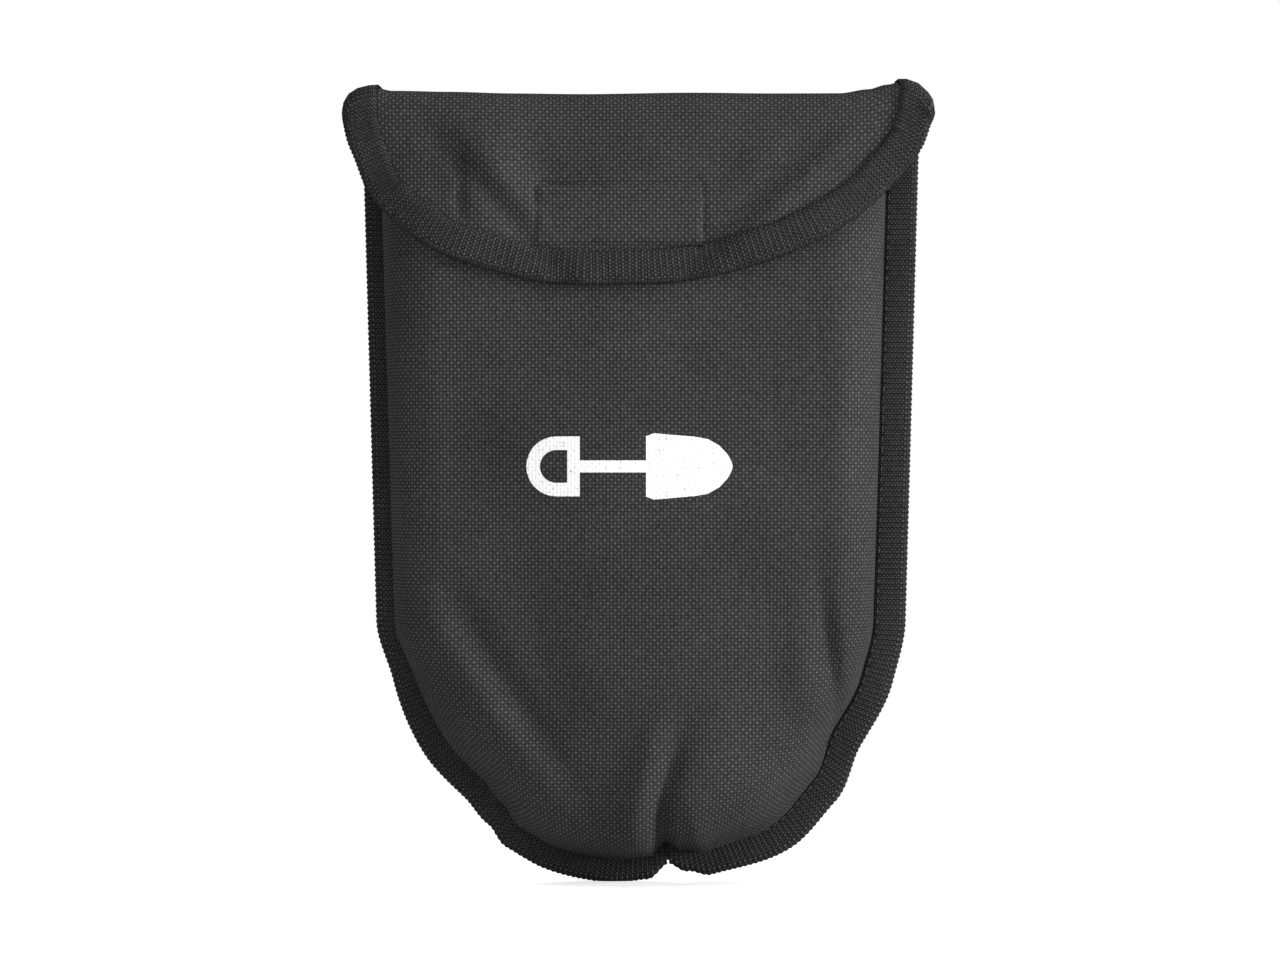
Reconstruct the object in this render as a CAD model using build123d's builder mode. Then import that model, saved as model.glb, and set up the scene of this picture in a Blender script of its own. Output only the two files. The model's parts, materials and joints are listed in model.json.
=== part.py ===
"""A folding camp shovel stowed in its woven belt pouch.

Millimetres. X runs across the pouch, -Y faces its front and +Z is up. The origin is the middle of the
belt passage, between the back panel and the belt loop. The shovel is folded in three: the blade lies
in front, the shaft behind it and the handle at the back, and its grip reaches up to the blade's pivot.
The pouch is cut to the shovel, so its sizes follow the shovel's with named clearances.
"""

import os
from math import cos, radians, sin, sqrt, tan

from build123d import *

# --- shovel ---
BLADE_WIDTH = 144.0
BLADE_LENGTH = 191.0  # shoulders to tip
BLADE_THICK = 2.0
BLADE_CROSS_R = 228.0  # hollow across the blade
BLADE_TILT = 4.0  # degrees: the tip hangs in towards the shaft
BLADE_TIP_R = 18.0  # half width of the rounded tip
TIP_RISE = 6.0  # height of the rounded tip
BLADE_NECK = 22.0  # blade pivot down to the shoulders
SHOULDER_R = 12.0
TOOTH_PITCH = 5.0
TOOTH_DEPTH = 3.0
TOOTH_GAP = 0.8
TEETH = 15
BRACKET_WIDTH = 34.0
BRACKET_HEIGHT = 38.0
BRACKET_CORNER = 5.0
EAR_FOOT = 2.7  # where the ears meet the plate, above and below the shoulders
BASE_PLATE = 2.5
RIVET_R = 2.5
RIVET_RIM = 1.5
RIVET_DOME = 0.4
RIVET_STAND = 0.5  # head clear of the hollow face
RIVET_TAIL = 1.0
RIVET_X = 11.0
RIVET_ROWS = (8.0, 30.0)  # below the shoulders
SHAFT_PITCH = 120.0  # blade pivot to handle pivot
TUBE_R = 9.0
TUBE_WALL = 1.3
PLUG_LENGTH = 20.0  # of each lug inside the tube
TUBE_TOP_DROP = 20.0  # tube end below the blade pivot
TUBE_END_RISE = 6.0  # tube end above the handle pivot
TONGUE_HALF = 8.0
EAR = 2.7
EAR_R = 8.0
END_EAR_R = 7.0
EAR_GAP = 0.3  # tongue to ear, each side
PIVOT_R = 3.0
PIN_RIM = 2.5
PIN_HEAD = 1.8
PIN_CHAMFER = 0.8
FERRULE_WALL = 2.0
FERRULE_LENGTH = 34.0
THREAD_PITCH = 3.0
THREAD_DEPTH = 0.8
COLLAR_WALL = 2.7
COLLAR_LENGTH = 18.0
COLLAR_GAP = 0.3
KNURLS = 20
KNURL_R = 1.6
KNURL_DEPTH = 0.7
WASHER = 1.5
WASHER_STEP = 0.5  # washer inside the collar's rim
GRIP_OVER_PIVOT = 1.0  # folded grip above the blade pivot, so the handle is as long as the shaft
HANDLE_HALF = 50.0
HANDLE_CORNER = 12.0
ROD_R = 4.5
ROD_RISE = 20.0  # rod ends above the handle pivot
GRIP_R = 8.0
GRIP_HALF = 30.0
GRIP_ROUND = 1.0
GRIP_RIBS = 7
GRIP_RIB_PITCH = 7.0
GRIP_RIB_DEPTH = 0.7
YOKE_WIDTH = 28.0
YOKE_HEIGHT = 18.0
YOKE_THICK = 12.0
YOKE_CORNER = 4.0

# --- clearances of the folded shovel ---
NEST_GAP = 1.5  # grip to tube
COLLAR_ROOM = 2.5  # collar to the bracket's base
COLLAR_DROP = 1.0  # washer's foot below the shoulders
REST_GAP = 0.6  # grip to the back panel
FRONT_GAP = 1.0  # blade to the front panel
SIDE_ROOM = 2.0  # blade's edge to the pouch's inner side
TIP_LIFT = 11.0  # blade's tip above the pouch's inner foot
PIVOT_DROP = 11.0  # blade pivot below the mouth

# --- pouch ---
MOUTH_TOP = 78.0  # raw top edge of the front panel
CLOTH = 1.0  # coated polyester with its lining
TAPE = 0.9  # binding tape
TAPE_WIDTH = 10.5  # binding on each face of an edge
TAPE_STEP = 0.5  # mouth binding clear of the edge binding
BULGE_STEP = 0.2  # edge binding clear of the swollen front
SIDE_LEAN = 1.6  # degrees: the sides widen upwards from the foot
KNEE_Z = -10.0  # below this the front slopes in to the foot
FOOT_SLOPE = 14.0  # how far it slopes in
FRONT_ROUND = 14.0  # rounding of the front's outer edge
NOTCH_X = 9.0  # where the two bindings meet at the foot
NOTCH_GAP = 0.8

# --- belt loop ---
BELT_GAP = 5.2
WEBBING = 1.6
LOOP_WIDTH = 50.0
LOOP_HALF_FLAT = 28.0  # half the length that stands off the back
LOOP_RAMP = 10.0
LOOP_BEND = 4.0
LOOP_TAIL = 18.0  # sewn down at each end
THREAD = 0.5
STITCH_WIDTH = 1.2
STITCH_MARGIN = 3.0
CROSS_INSET = 1.0  # the crossed rows stop inside the box

# --- flap ---
FLAP_ROOM = 5.1  # fold above the bound mouth
FLAP_OVERHANG = 3.8  # front fold past the back fold, each side
FLAP_DROP = 60.0  # front fold to the lowest point
FOLD_GAP = 0.9  # cloth starts this far from a fold's axis
TAPE_FOLD_GAP = 1.8  # and tape this far
PATCH = 1.2  # hook or loop tape
PATCH_GAP = 0.4  # hooks to loops
PATCH_EDGE_GAP = 0.4  # hooks to the binding
PATCH_WIDTH = 50.0
PATCH_CORNER = 2.0
PATCH_X = -6.0
HOOK_HEIGHT = 15.5
LOOP_HEIGHT = 24.0

# --- worked out: radii and half widths ---
TUBE_IN = TUBE_R - TUBE_WALL
FERRULE_R = TUBE_R + FERRULE_WALL
COLLAR_IN = FERRULE_R + COLLAR_GAP
COLLAR_R = COLLAR_IN + COLLAR_WALL
EAR_IN = TONGUE_HALF + EAR_GAP
EAR_OUT = EAR_IN + EAR
HALF_BLADE = BLADE_WIDTH / 2
BULGE_INSET = TAPE_WIDTH - CLOTH
FOOT_R = HALF_BLADE + SIDE_ROOM + CLOTH + BULGE_INSET
PIN_END = EAR_OUT + PIN_HEAD

# --- worked out: depths, from the back panel to the front ---
BACK_OUT = -BELT_GAP / 2
BACK_MID = BACK_OUT - CLOTH / 2
BACK_IN = BACK_OUT - CLOTH
FLANGE_FRONT = BACK_IN - CLOTH
HANDLE_Y = BACK_IN - REST_GAP - GRIP_R
SHAFT_Y = HANDLE_Y - GRIP_R - NEST_GAP - TUBE_R
HANDLE_PIVOT_Y = (SHAFT_Y + HANDLE_Y) / 2
BLADE_BACK = SHAFT_Y - COLLAR_R - COLLAR_ROOM - BASE_PLATE
BLADE_FRONT = BLADE_BACK - BLADE_THICK
BLADE_PIVOT_Y = (SHAFT_Y + BLADE_BACK - BLADE_THICK / 2) / 2
FRONT_IN = BLADE_FRONT - FRONT_GAP
FRONT_OUT = FRONT_IN - CLOTH
FLAP_IN = FRONT_OUT - 2 * PATCH - PATCH_GAP
FLAP_MID = FLAP_IN - CLOTH / 2

# --- worked out: heights ---
TILT = radians(BLADE_TILT)
EDGE_TOP = MOUTH_TOP + TAPE
FOLD_Z = EDGE_TOP + FLAP_ROOM
BLADE_PIVOT_Z = MOUTH_TOP - PIVOT_DROP
HANDLE_PIVOT_Z = BLADE_PIVOT_Z - SHAFT_PITCH
GRIP_Z = BLADE_PIVOT_Z + GRIP_OVER_PIVOT
SHOULDER_Z = BLADE_PIVOT_Z - BLADE_NECK
TIP_Z = SHOULDER_Z - BLADE_LENGTH
POUCH_LOW = TIP_Z - TIP_LIFT - CLOTH - BULGE_INSET
FOOT_Z = POUCH_LOW + FOOT_R
TUBE_TOP = BLADE_PIVOT_Z - TUBE_TOP_DROP
TUBE_LOW = HANDLE_PIVOT_Z + TUBE_END_RISE
COLLAR_TOP = SHOULDER_Z - COLLAR_DROP
FERRULE_LOW = TUBE_TOP - FERRULE_LENGTH
RIVET_PLACES = [(x, SHOULDER_Z - row) for row in RIVET_ROWS for x in (-RIVET_X, RIVET_X)]

# --- worked out: flap ---
LEAN = radians(SIDE_LEAN)
FOLD_HALF = FOOT_R * cos(LEAN) + (FOLD_Z - FOOT_Z + FOOT_R * sin(LEAN)) * tan(LEAN)
HALF_FLAP = FOLD_HALF + FLAP_OVERHANG
PATCH_REACH = (abs(PATCH_X) + PATCH_WIDTH / 2) / (HALF_FLAP - TAPE_WIDTH)
HOOK_LOW = FOLD_Z - (FLAP_DROP - TAPE_WIDTH) * sqrt(1 - PATCH_REACH**2) + PATCH_EDGE_GAP
HOOK_MID = HOOK_LOW + HOOK_HEIGHT / 2

FAR = 400.0  # longer than anything here, for cutting


def save(piece, name):
    """Labels a finished piece and writes it as parts/NAME.step."""
    piece.part.label = name
    export_step(piece.part, f"parts/{name}.step")


def facing(y):
    """A sketch plane at that depth, seen from the front: sketch X and Y are X and Z."""
    return Plane.XZ.offset(-y)


def level(z):
    """A horizontal sketch plane at that height."""
    return Plane.XY.offset(z)


def across(x):
    """A sketch plane square to X: sketch X and Y are Y and Z."""
    return Plane.YZ.offset(x)


def outline(inset, top):
    """The pouch's outline, inset from the outside of the binding: a round foot and leaning sides."""
    radius = FOOT_R - inset
    foot_x, foot_z = radius * cos(LEAN), FOOT_Z - radius * sin(LEAN)
    top_x = foot_x + (top - foot_z) * tan(LEAN)
    with BuildSketch() as shape:
        with BuildLine():
            Polyline((-foot_x, foot_z), (-top_x, top), (top_x, top), (foot_x, foot_z))
            ThreePointArc((foot_x, foot_z), (0, POUCH_LOW + inset), (-foot_x, foot_z))
        make_face()
    return shape.sketch


def bulge(inset, top):
    """The swollen front as a solid, inset from its outer skin, out from the back panel's inner face."""
    low = POUCH_LOW + BULGE_INSET + inset
    front = FRONT_OUT + inset
    foot_front = front + FOOT_SLOPE
    with BuildPart() as solid:
        with BuildSketch(facing(BACK_IN)):
            add(outline(BULGE_INSET + inset, top))
        extrude(amount=BACK_IN - front)
        with BuildSketch(across(0)):
            with BuildLine():
                Polyline((front, KNEE_Z), (front, top), (BACK_IN, top), (BACK_IN, low), (foot_front, low))
                TangentArc((front, KNEE_Z), (foot_front, low), tangent=(0, -1))
            make_face()
        extrude(amount=FAR, both=True, mode=Mode.INTERSECT)
        upright = solid.edges().filter_by(lambda edge: edge.bounding_box().size.Z > CLOTH)
        rim = upright.filter_by(lambda edge: edge.center().Y < foot_front + CLOTH)
        fillet(rim, FRONT_ROUND - inset)
    return solid.part


def blade_skin(outer, inner):
    """A plate hollow like the blade, between two depths behind its front face, past tip and pivot."""
    top = BLADE_PIVOT_Z + EAR_R
    with BuildPart() as skin:
        with BuildSketch(level(top)):
            with Locations((0, BLADE_FRONT + BLADE_CROSS_R - (top - SHOULDER_Z) * tan(TILT))):
                Circle(BLADE_CROSS_R - outer)
                Circle(BLADE_CROSS_R - inner, mode=Mode.SUBTRACT)
            with Locations((0, BLADE_FRONT)):
                Rectangle(BLADE_WIDTH + 2 * SIDE_ROOM, BLADE_CROSS_R, mode=Mode.INTERSECT)
        extrude(amount=FAR, dir=(0, sin(TILT), -cos(TILT)))
    return skin.part


def blade_face_y(x, z):
    """Depth of the blade's front face at a point of its outline."""
    hollow = BLADE_CROSS_R - sqrt(BLADE_CROSS_R**2 - x**2)
    return BLADE_FRONT + hollow + (SHOULDER_Z - z) * tan(TILT)


def upright_bar(radius, low, top):
    """A round bar on the shaft's axis."""
    with BuildPart() as bar:
        with BuildSketch(level(low)):
            with Locations((0, SHAFT_Y)):
                Circle(radius)
        extrude(amount=top - low)
    return bar.part


def pin_hole(y, z):
    """The clearance bar that cuts a pivot pin's hole."""
    with BuildPart() as bar:
        with BuildSketch(across(-PIN_END)):
            with Locations((y, z)):
                Circle(PIVOT_R)
        extrude(amount=2 * PIN_END)
    return bar.part


def rivet_holes():
    """The bars that cut the rivets' holes, square to the front."""
    with BuildPart() as bars:
        with BuildSketch(facing(FRONT_OUT)):
            with Locations(*RIVET_PLACES):
                Circle(RIVET_R)
        extrude(amount=FRONT_OUT - SHAFT_Y)
    return bars.part


def make_pivot_pin(y, z, name):
    """A pin along X with a head at each end."""
    with BuildPart() as pin:
        with BuildSketch(across(-EAR_OUT)):
            with Locations((y, z)):
                Circle(PIVOT_R)
        extrude(amount=2 * EAR_OUT)
        for side in (-1, 1):
            with BuildSketch(across(side * EAR_OUT)):
                with Locations((y, z)):
                    Circle(PIVOT_R + PIN_RIM)
            extrude(amount=side * PIN_HEAD)
        ends = pin.faces().filter_by(Axis.X).sort_by(Axis.X)
        chamfer((ends[0].edges(), ends[-1].edges()), PIN_CHAMFER)
    save(pin, name)


os.makedirs("parts", exist_ok=True)

# --- pouch: back, front and their bindings ---
with BuildPart() as back_panel:
    with BuildSketch(facing(BACK_OUT)):
        add(outline(TAPE, FOLD_Z))
    extrude(amount=CLOTH)
    with BuildSketch(across(0)):
        with Locations((BACK_MID, FOLD_Z)):
            Circle(CLOTH / 2)
    extrude(amount=FOLD_HALF - TAPE, both=True)
save(back_panel, "back_panel")

with BuildPart() as front_panel:
    with BuildSketch(facing(BACK_IN)):
        add(outline(TAPE, MOUTH_TOP))
    extrude(amount=CLOTH)
    add(bulge(0, MOUTH_TOP))
    add(bulge(CLOTH, MOUTH_TOP + CLOTH), mode=Mode.SUBTRACT)
save(front_panel, "front_panel")

for side, name in ((-1, "edge_binding_left"), (1, "edge_binding_right")):
    with BuildPart() as binding:
        with BuildSketch(facing(BACK_OUT + TAPE)):
            add(outline(0, EDGE_TOP))
            add(outline(TAPE_WIDTH, EDGE_TOP), mode=Mode.SUBTRACT)
        extrude(amount=2 * (CLOTH + TAPE))
        with BuildSketch(facing(BACK_OUT)):
            add(outline(TAPE, EDGE_TOP))
        extrude(amount=2 * CLOTH, mode=Mode.SUBTRACT)
        add(bulge(-BULGE_STEP, EDGE_TOP), mode=Mode.SUBTRACT)
        with BuildSketch(level(POUCH_LOW)):
            with Locations((NOTCH_X + side * (NOTCH_GAP + FAR) / 2, 0)):
                Rectangle(FAR, FAR)
        extrude(amount=FAR, mode=Mode.INTERSECT)
    save(binding, name)

with BuildPart() as mouth_binding:
    add(bulge(-TAPE, EDGE_TOP))
    add(bulge(CLOTH + TAPE, EDGE_TOP + CLOTH), mode=Mode.SUBTRACT)
    with BuildSketch(level(EDGE_TOP - TAPE_WIDTH)):
        with Locations((0, FLANGE_FRONT - TAPE - TAPE_STEP - FAR / 2)):
            Rectangle(FAR, FAR)
    extrude(amount=TAPE_WIDTH, mode=Mode.INTERSECT)
    add(front_panel.part, mode=Mode.SUBTRACT)
save(mouth_binding, "mouth_binding")

with BuildPart() as loop_patch:
    with BuildSketch(facing(FRONT_OUT)):
        with Locations((PATCH_X, HOOK_MID)):
            RectangleRounded(PATCH_WIDTH, LOOP_HEIGHT, PATCH_CORNER)
    extrude(amount=PATCH)
save(loop_patch, "loop_patch")

# --- belt loop, sewn to the back ---
LOOP_END = LOOP_HALF_FLAT + LOOP_RAMP + LOOP_TAIL
with BuildPart() as belt_loop:
    with BuildSketch(across(-LOOP_WIDTH / 2)):
        with BuildLine():
            FilletPolyline(
                (BACK_OUT, LOOP_END),
                (BACK_OUT, LOOP_HALF_FLAT + LOOP_RAMP),
                (BELT_GAP / 2, LOOP_HALF_FLAT),
                (BELT_GAP / 2, -LOOP_HALF_FLAT),
                (BACK_OUT, -LOOP_HALF_FLAT - LOOP_RAMP),
                (BACK_OUT, -LOOP_END),
                radius=LOOP_BEND,
            )
            offset(amount=WEBBING, side=Side.LEFT)
        make_face()
    extrude(amount=LOOP_WIDTH)
save(belt_loop, "belt_loop")

BOX_X = LOOP_WIDTH / 2 - STITCH_MARGIN
BOX_Z = LOOP_TAIL / 2 - STITCH_MARGIN
CROSS_X = BOX_X - CROSS_INSET
CROSS_Z = BOX_Z - CROSS_INSET
with BuildPart() as belt_loop_stitching:
    for middle in (LOOP_TAIL / 2 - LOOP_END, LOOP_END - LOOP_TAIL / 2):
        with BuildSketch(facing(BACK_OUT + WEBBING + THREAD)):
            with Locations((0, middle)):
                Rectangle(2 * BOX_X, 2 * BOX_Z)
                Rectangle(2 * (BOX_X - STITCH_WIDTH), 2 * (BOX_Z - STITCH_WIDTH), mode=Mode.SUBTRACT)
            with BuildLine():
                Polyline((-CROSS_X, middle - CROSS_Z), (CROSS_X, middle + CROSS_Z))
                Polyline((-CROSS_X, middle + CROSS_Z), (CROSS_X, middle - CROSS_Z))
            trace(line_width=STITCH_WIDTH)
        extrude(amount=THREAD)
save(belt_loop_stitching, "belt_loop_stitching")


# --- flap: the strip over the mouth ---
def top_strip(inset, gap):
    """The strip seen from above: it widens from the back fold to the front fold."""
    back, front = BACK_MID - gap, FLAP_MID + gap
    with BuildSketch() as shape:
        with BuildLine():
            Polyline(
                (-FOLD_HALF + inset, back),
                (-HALF_FLAP + inset, front),
                (HALF_FLAP - inset, front),
                (FOLD_HALF - inset, back),
                close=True,
            )
        make_face()
    return shape.sketch


with BuildPart() as flap_top_panel:
    with BuildSketch(level(FOLD_Z - CLOTH / 2)):
        add(top_strip(TAPE, FOLD_GAP))
    extrude(amount=CLOTH)
save(flap_top_panel, "flap_top_panel")

with BuildPart() as flap_top_binding:
    with BuildSketch(level(FOLD_Z - CLOTH / 2 - TAPE)):
        add(top_strip(0, TAPE_FOLD_GAP))
        add(top_strip(TAPE_WIDTH, FOLD_GAP), mode=Mode.SUBTRACT)
    extrude(amount=CLOTH + 2 * TAPE)
    add(flap_top_panel.part, mode=Mode.SUBTRACT)
save(flap_top_binding, "flap_top_binding")


# --- flap: the part that hangs down the front ---
def hanging(inset, gap):
    """The lower half of an ellipse under the front fold, drawn about the fold."""
    with BuildSketch() as shape:
        Ellipse(HALF_FLAP - inset, FLAP_DROP - inset)
        with Locations((0, FLAP_DROP - gap)):
            Rectangle(FAR, 2 * FLAP_DROP, mode=Mode.SUBTRACT)
    return shape.sketch


def from_fold(y):
    """A sketch plane at that depth with its origin on the front fold's height."""
    return Plane((0, y, FOLD_Z), x_dir=(1, 0, 0), z_dir=(0, -1, 0))


with BuildPart() as flap_front_panel:
    with BuildSketch(from_fold(FLAP_IN)):
        add(hanging(TAPE, FOLD_GAP))
    extrude(amount=CLOTH)
save(flap_front_panel, "flap_front_panel")

with BuildPart() as flap_front_binding:
    with BuildSketch(from_fold(FLAP_IN + TAPE)):
        add(hanging(0, TAPE_FOLD_GAP))
        add(hanging(TAPE_WIDTH, 0), mode=Mode.SUBTRACT)
    extrude(amount=CLOTH + 2 * TAPE)
    add(flap_front_panel.part, mode=Mode.SUBTRACT)
save(flap_front_binding, "flap_front_binding")

with BuildPart() as hook_patch:
    with BuildSketch(facing(FLAP_IN + PATCH)):
        with Locations((PATCH_X, HOOK_MID)):
            RectangleRounded(PATCH_WIDTH, HOOK_HEIGHT, PATCH_CORNER)
    extrude(amount=PATCH)
save(hook_patch, "hook_patch")

# --- blade, its rivets and its bracket ---
with BuildPart() as blade_rivets:
    for x, z in RIVET_PLACES:
        face_y = blade_face_y(x, z)
        with BuildSketch(facing(face_y + BLADE_THICK + BASE_PLATE + RIVET_TAIL)):
            with Locations((x, z)):
                Circle(RIVET_R)
        extrude(amount=BLADE_THICK + BASE_PLATE + RIVET_TAIL + RIVET_STAND)
        with BuildSketch(facing(face_y - RIVET_STAND)):
            with Locations((x, z)):
                Circle(RIVET_R + RIVET_RIM)
        extrude(amount=RIVET_DOME)
save(blade_rivets, "blade_rivets")

TEETH_TOP = SHOULDER_Z - SHOULDER_R - TOOTH_DEPTH
SIDE_LOW = TEETH_TOP - TEETH * TOOTH_PITCH
with BuildPart() as blade:
    add(blade_skin(0, BLADE_THICK))
    with BuildSketch(facing(FRONT_OUT)):
        with BuildLine():
            Polyline(
                (-HALF_BLADE, SIDE_LOW),
                (-HALF_BLADE, SHOULDER_Z),
                (HALF_BLADE, SHOULDER_Z),
                (HALF_BLADE, SIDE_LOW),
            )
            TangentArc((HALF_BLADE, SIDE_LOW), (BLADE_TIP_R, TIP_Z + TIP_RISE), tangent=(0, -1))
            ThreePointArc((BLADE_TIP_R, TIP_Z + TIP_RISE), (0, TIP_Z), (-BLADE_TIP_R, TIP_Z + TIP_RISE))
            TangentArc((-HALF_BLADE, SIDE_LOW), (-BLADE_TIP_R, TIP_Z + TIP_RISE), tangent=(0, -1))
        shape = make_face()
        fillet(shape.vertices().group_by(Axis.Y)[-1], SHOULDER_R)
        with Locations((-HALF_BLADE, (TEETH_TOP + SIDE_LOW) / 2)):
            with GridLocations(0, TOOTH_PITCH, 1, TEETH):
                Polygon(
                    (-TOOTH_DEPTH, TOOTH_GAP / 2 - TOOTH_PITCH),
                    (TOOTH_DEPTH, 0),
                    (-TOOTH_DEPTH, TOOTH_PITCH - TOOTH_GAP / 2),
                    align=None,
                    mode=Mode.SUBTRACT,
                )
    extrude(amount=-FAR, mode=Mode.INTERSECT)
    add(rivet_holes(), mode=Mode.SUBTRACT)
save(blade, "blade")

with BuildPart() as blade_bracket:
    add(blade_skin(BLADE_THICK, BLADE_THICK + BASE_PLATE))
    with BuildSketch(facing(FRONT_OUT)):
        with Locations((0, SHOULDER_Z - BRACKET_HEIGHT / 2)):
            RectangleRounded(BRACKET_WIDTH, BRACKET_HEIGHT, BRACKET_CORNER)
    extrude(amount=-FAR, mode=Mode.INTERSECT)
    for side in (-1, 1):
        with BuildSketch(across(side * EAR_IN)):
            with BuildLine():
                CenterArc((BLADE_PIVOT_Y, BLADE_PIVOT_Z), EAR_R, 0, 360)
                Line((BLADE_FRONT, SHOULDER_Z + EAR_FOOT), (BLADE_FRONT, SHOULDER_Z - EAR_FOOT))
                Line((BLADE_FRONT, SHOULDER_Z - EAR_FOOT), (BLADE_BACK + BASE_PLATE, SHOULDER_Z - EAR_FOOT))
            make_hull()
        extrude(amount=side * EAR)
    add(blade_skin(-BLADE_THICK, BLADE_THICK), mode=Mode.SUBTRACT)
    add(pin_hole(BLADE_PIVOT_Y, BLADE_PIVOT_Z), mode=Mode.SUBTRACT)
    add(rivet_holes(), mode=Mode.SUBTRACT)
save(blade_bracket, "blade_bracket")

make_pivot_pin(BLADE_PIVOT_Y, BLADE_PIVOT_Z, "blade_pivot_pin")

# --- shaft and its locking collar ---
TONGUE_FRONT = SHAFT_Y - TUBE_IN
TONGUE_BACK = SHAFT_Y + TUBE_IN
with BuildPart() as shaft_top_lug:
    with BuildSketch(across(-TONGUE_HALF)):
        with BuildLine():
            CenterArc((BLADE_PIVOT_Y, BLADE_PIVOT_Z), EAR_R - EAR_GAP, 0, 360)
            Line((TONGUE_FRONT, TUBE_TOP), (TONGUE_BACK, TUBE_TOP))
            Line((TONGUE_BACK, TUBE_TOP), (TONGUE_BACK, TUBE_TOP + EAR_R / 2))
        make_hull()
    extrude(amount=2 * TONGUE_HALF)
    add(upright_bar(TUBE_IN, TUBE_TOP - PLUG_LENGTH, TUBE_TOP))
    add(pin_hole(BLADE_PIVOT_Y, BLADE_PIVOT_Z), mode=Mode.SUBTRACT)
save(shaft_top_lug, "shaft_top_lug")

with BuildPart() as shaft_tube:
    add(upright_bar(TUBE_R, TUBE_LOW, TUBE_TOP))
    add(upright_bar(TUBE_IN, TUBE_LOW, TUBE_TOP), mode=Mode.SUBTRACT)
save(shaft_tube, "shaft_tube")

with BuildPart() as threaded_ferrule:
    add(upright_bar(FERRULE_R, FERRULE_LOW, TUBE_TOP))
    with BuildSketch(across(0)):
        for turn in range(1, int(FERRULE_LENGTH / THREAD_PITCH)):
            with Locations((SHAFT_Y + FERRULE_R, FERRULE_LOW + THREAD_PITCH * turn)):
                Rectangle(2 * THREAD_DEPTH, THREAD_PITCH / 2)
    revolve(axis=Axis((0, SHAFT_Y, 0), (0, 0, 1)), mode=Mode.SUBTRACT)
    add(upright_bar(TUBE_R, FERRULE_LOW, TUBE_TOP), mode=Mode.SUBTRACT)
save(threaded_ferrule, "threaded_ferrule")

with BuildPart() as collar_washer:
    add(upright_bar(COLLAR_R - WASHER_STEP, COLLAR_TOP, COLLAR_TOP + WASHER))
    add(upright_bar(COLLAR_IN, COLLAR_TOP, COLLAR_TOP + WASHER), mode=Mode.SUBTRACT)
save(collar_washer, "collar_washer")

with BuildPart() as lock_collar:
    with BuildSketch(level(COLLAR_TOP - COLLAR_LENGTH)):
        with Locations((0, SHAFT_Y)):
            Circle(COLLAR_R)
            Circle(COLLAR_IN, mode=Mode.SUBTRACT)
            with PolarLocations(COLLAR_R + KNURL_R - KNURL_DEPTH, KNURLS):
                Circle(KNURL_R, mode=Mode.SUBTRACT)
    extrude(amount=COLLAR_LENGTH - COLLAR_GAP)
save(lock_collar, "lock_collar")

with BuildPart() as shaft_end_lug:
    with BuildSketch(across(-TONGUE_HALF)):
        with BuildLine():
            CenterArc((HANDLE_PIVOT_Y, HANDLE_PIVOT_Z), END_EAR_R, 0, 360)
            Line((TONGUE_FRONT, TUBE_LOW - END_EAR_R), (TONGUE_FRONT, TUBE_LOW))
            Line((TONGUE_FRONT, TUBE_LOW), (TONGUE_BACK, TUBE_LOW))
        make_hull()
    extrude(amount=2 * TONGUE_HALF)
    with BuildSketch(level(TUBE_LOW)):
        Rectangle(FAR, FAR)
    extrude(amount=END_EAR_R, mode=Mode.SUBTRACT)
    add(upright_bar(TUBE_IN, TUBE_LOW, TUBE_LOW + PLUG_LENGTH))
    add(pin_hole(HANDLE_PIVOT_Y, HANDLE_PIVOT_Z), mode=Mode.SUBTRACT)
save(shaft_end_lug, "shaft_end_lug")

make_pivot_pin(HANDLE_PIVOT_Y, HANDLE_PIVOT_Z, "handle_pivot_pin")

# --- handle ---
ROD_LOW = HANDLE_PIVOT_Z + ROD_RISE
ROD_X = EAR_IN - EAR_GAP / 2
with BuildPart() as handle_frame:
    with BuildLine(facing(HANDLE_Y)):
        route = FilletPolyline(
            (-ROD_X, ROD_LOW),
            (-HANDLE_HALF, GRIP_Z),
            (HANDLE_HALF, GRIP_Z),
            (ROD_X, ROD_LOW),
            radius=HANDLE_CORNER,
        )
    with BuildSketch(Plane(route @ 0, z_dir=route % 0)):
        Circle(ROD_R)
    sweep()
save(handle_frame, "handle_frame")

with BuildPart() as handle_grip:
    with BuildSketch(across(-GRIP_HALF)):
        with Locations((HANDLE_Y, GRIP_Z)):
            Circle(GRIP_R)
    extrude(amount=2 * GRIP_HALF)
    fillet(handle_grip.edges().filter_by(GeomType.CIRCLE), GRIP_ROUND)
    with BuildSketch(facing(HANDLE_Y)):
        with Locations((0, GRIP_Z + GRIP_R)):
            with GridLocations(GRIP_RIB_PITCH, 0, GRIP_RIBS, 1):
                Rectangle(GRIP_RIB_DEPTH * 2, GRIP_RIB_DEPTH * 2)
    revolve(axis=Axis((0, HANDLE_Y, GRIP_Z), (1, 0, 0)), mode=Mode.SUBTRACT)
    add(handle_frame.part, mode=Mode.SUBTRACT)
save(handle_grip, "handle_grip")

with BuildPart() as handle_yoke:
    with BuildSketch(facing(HANDLE_Y + YOKE_THICK / 2)):
        with Locations((0, ROD_LOW)):
            RectangleRounded(YOKE_WIDTH, YOKE_HEIGHT, YOKE_CORNER)
    extrude(amount=YOKE_THICK)
    ear_top = ROD_LOW - YOKE_HEIGHT / 2 + YOKE_CORNER
    for side in (-1, 1):
        with BuildSketch(across(side * EAR_IN)):
            with BuildLine():
                CenterArc((HANDLE_PIVOT_Y, HANDLE_PIVOT_Z), END_EAR_R, 0, 360)
                Line((HANDLE_Y - YOKE_CORNER, ear_top), (HANDLE_Y + YOKE_CORNER, ear_top))
            make_hull()
        extrude(amount=side * EAR)
    add(pin_hole(HANDLE_PIVOT_Y, HANDLE_PIVOT_Z), mode=Mode.SUBTRACT)
    add(handle_frame.part, mode=Mode.SUBTRACT)
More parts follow.
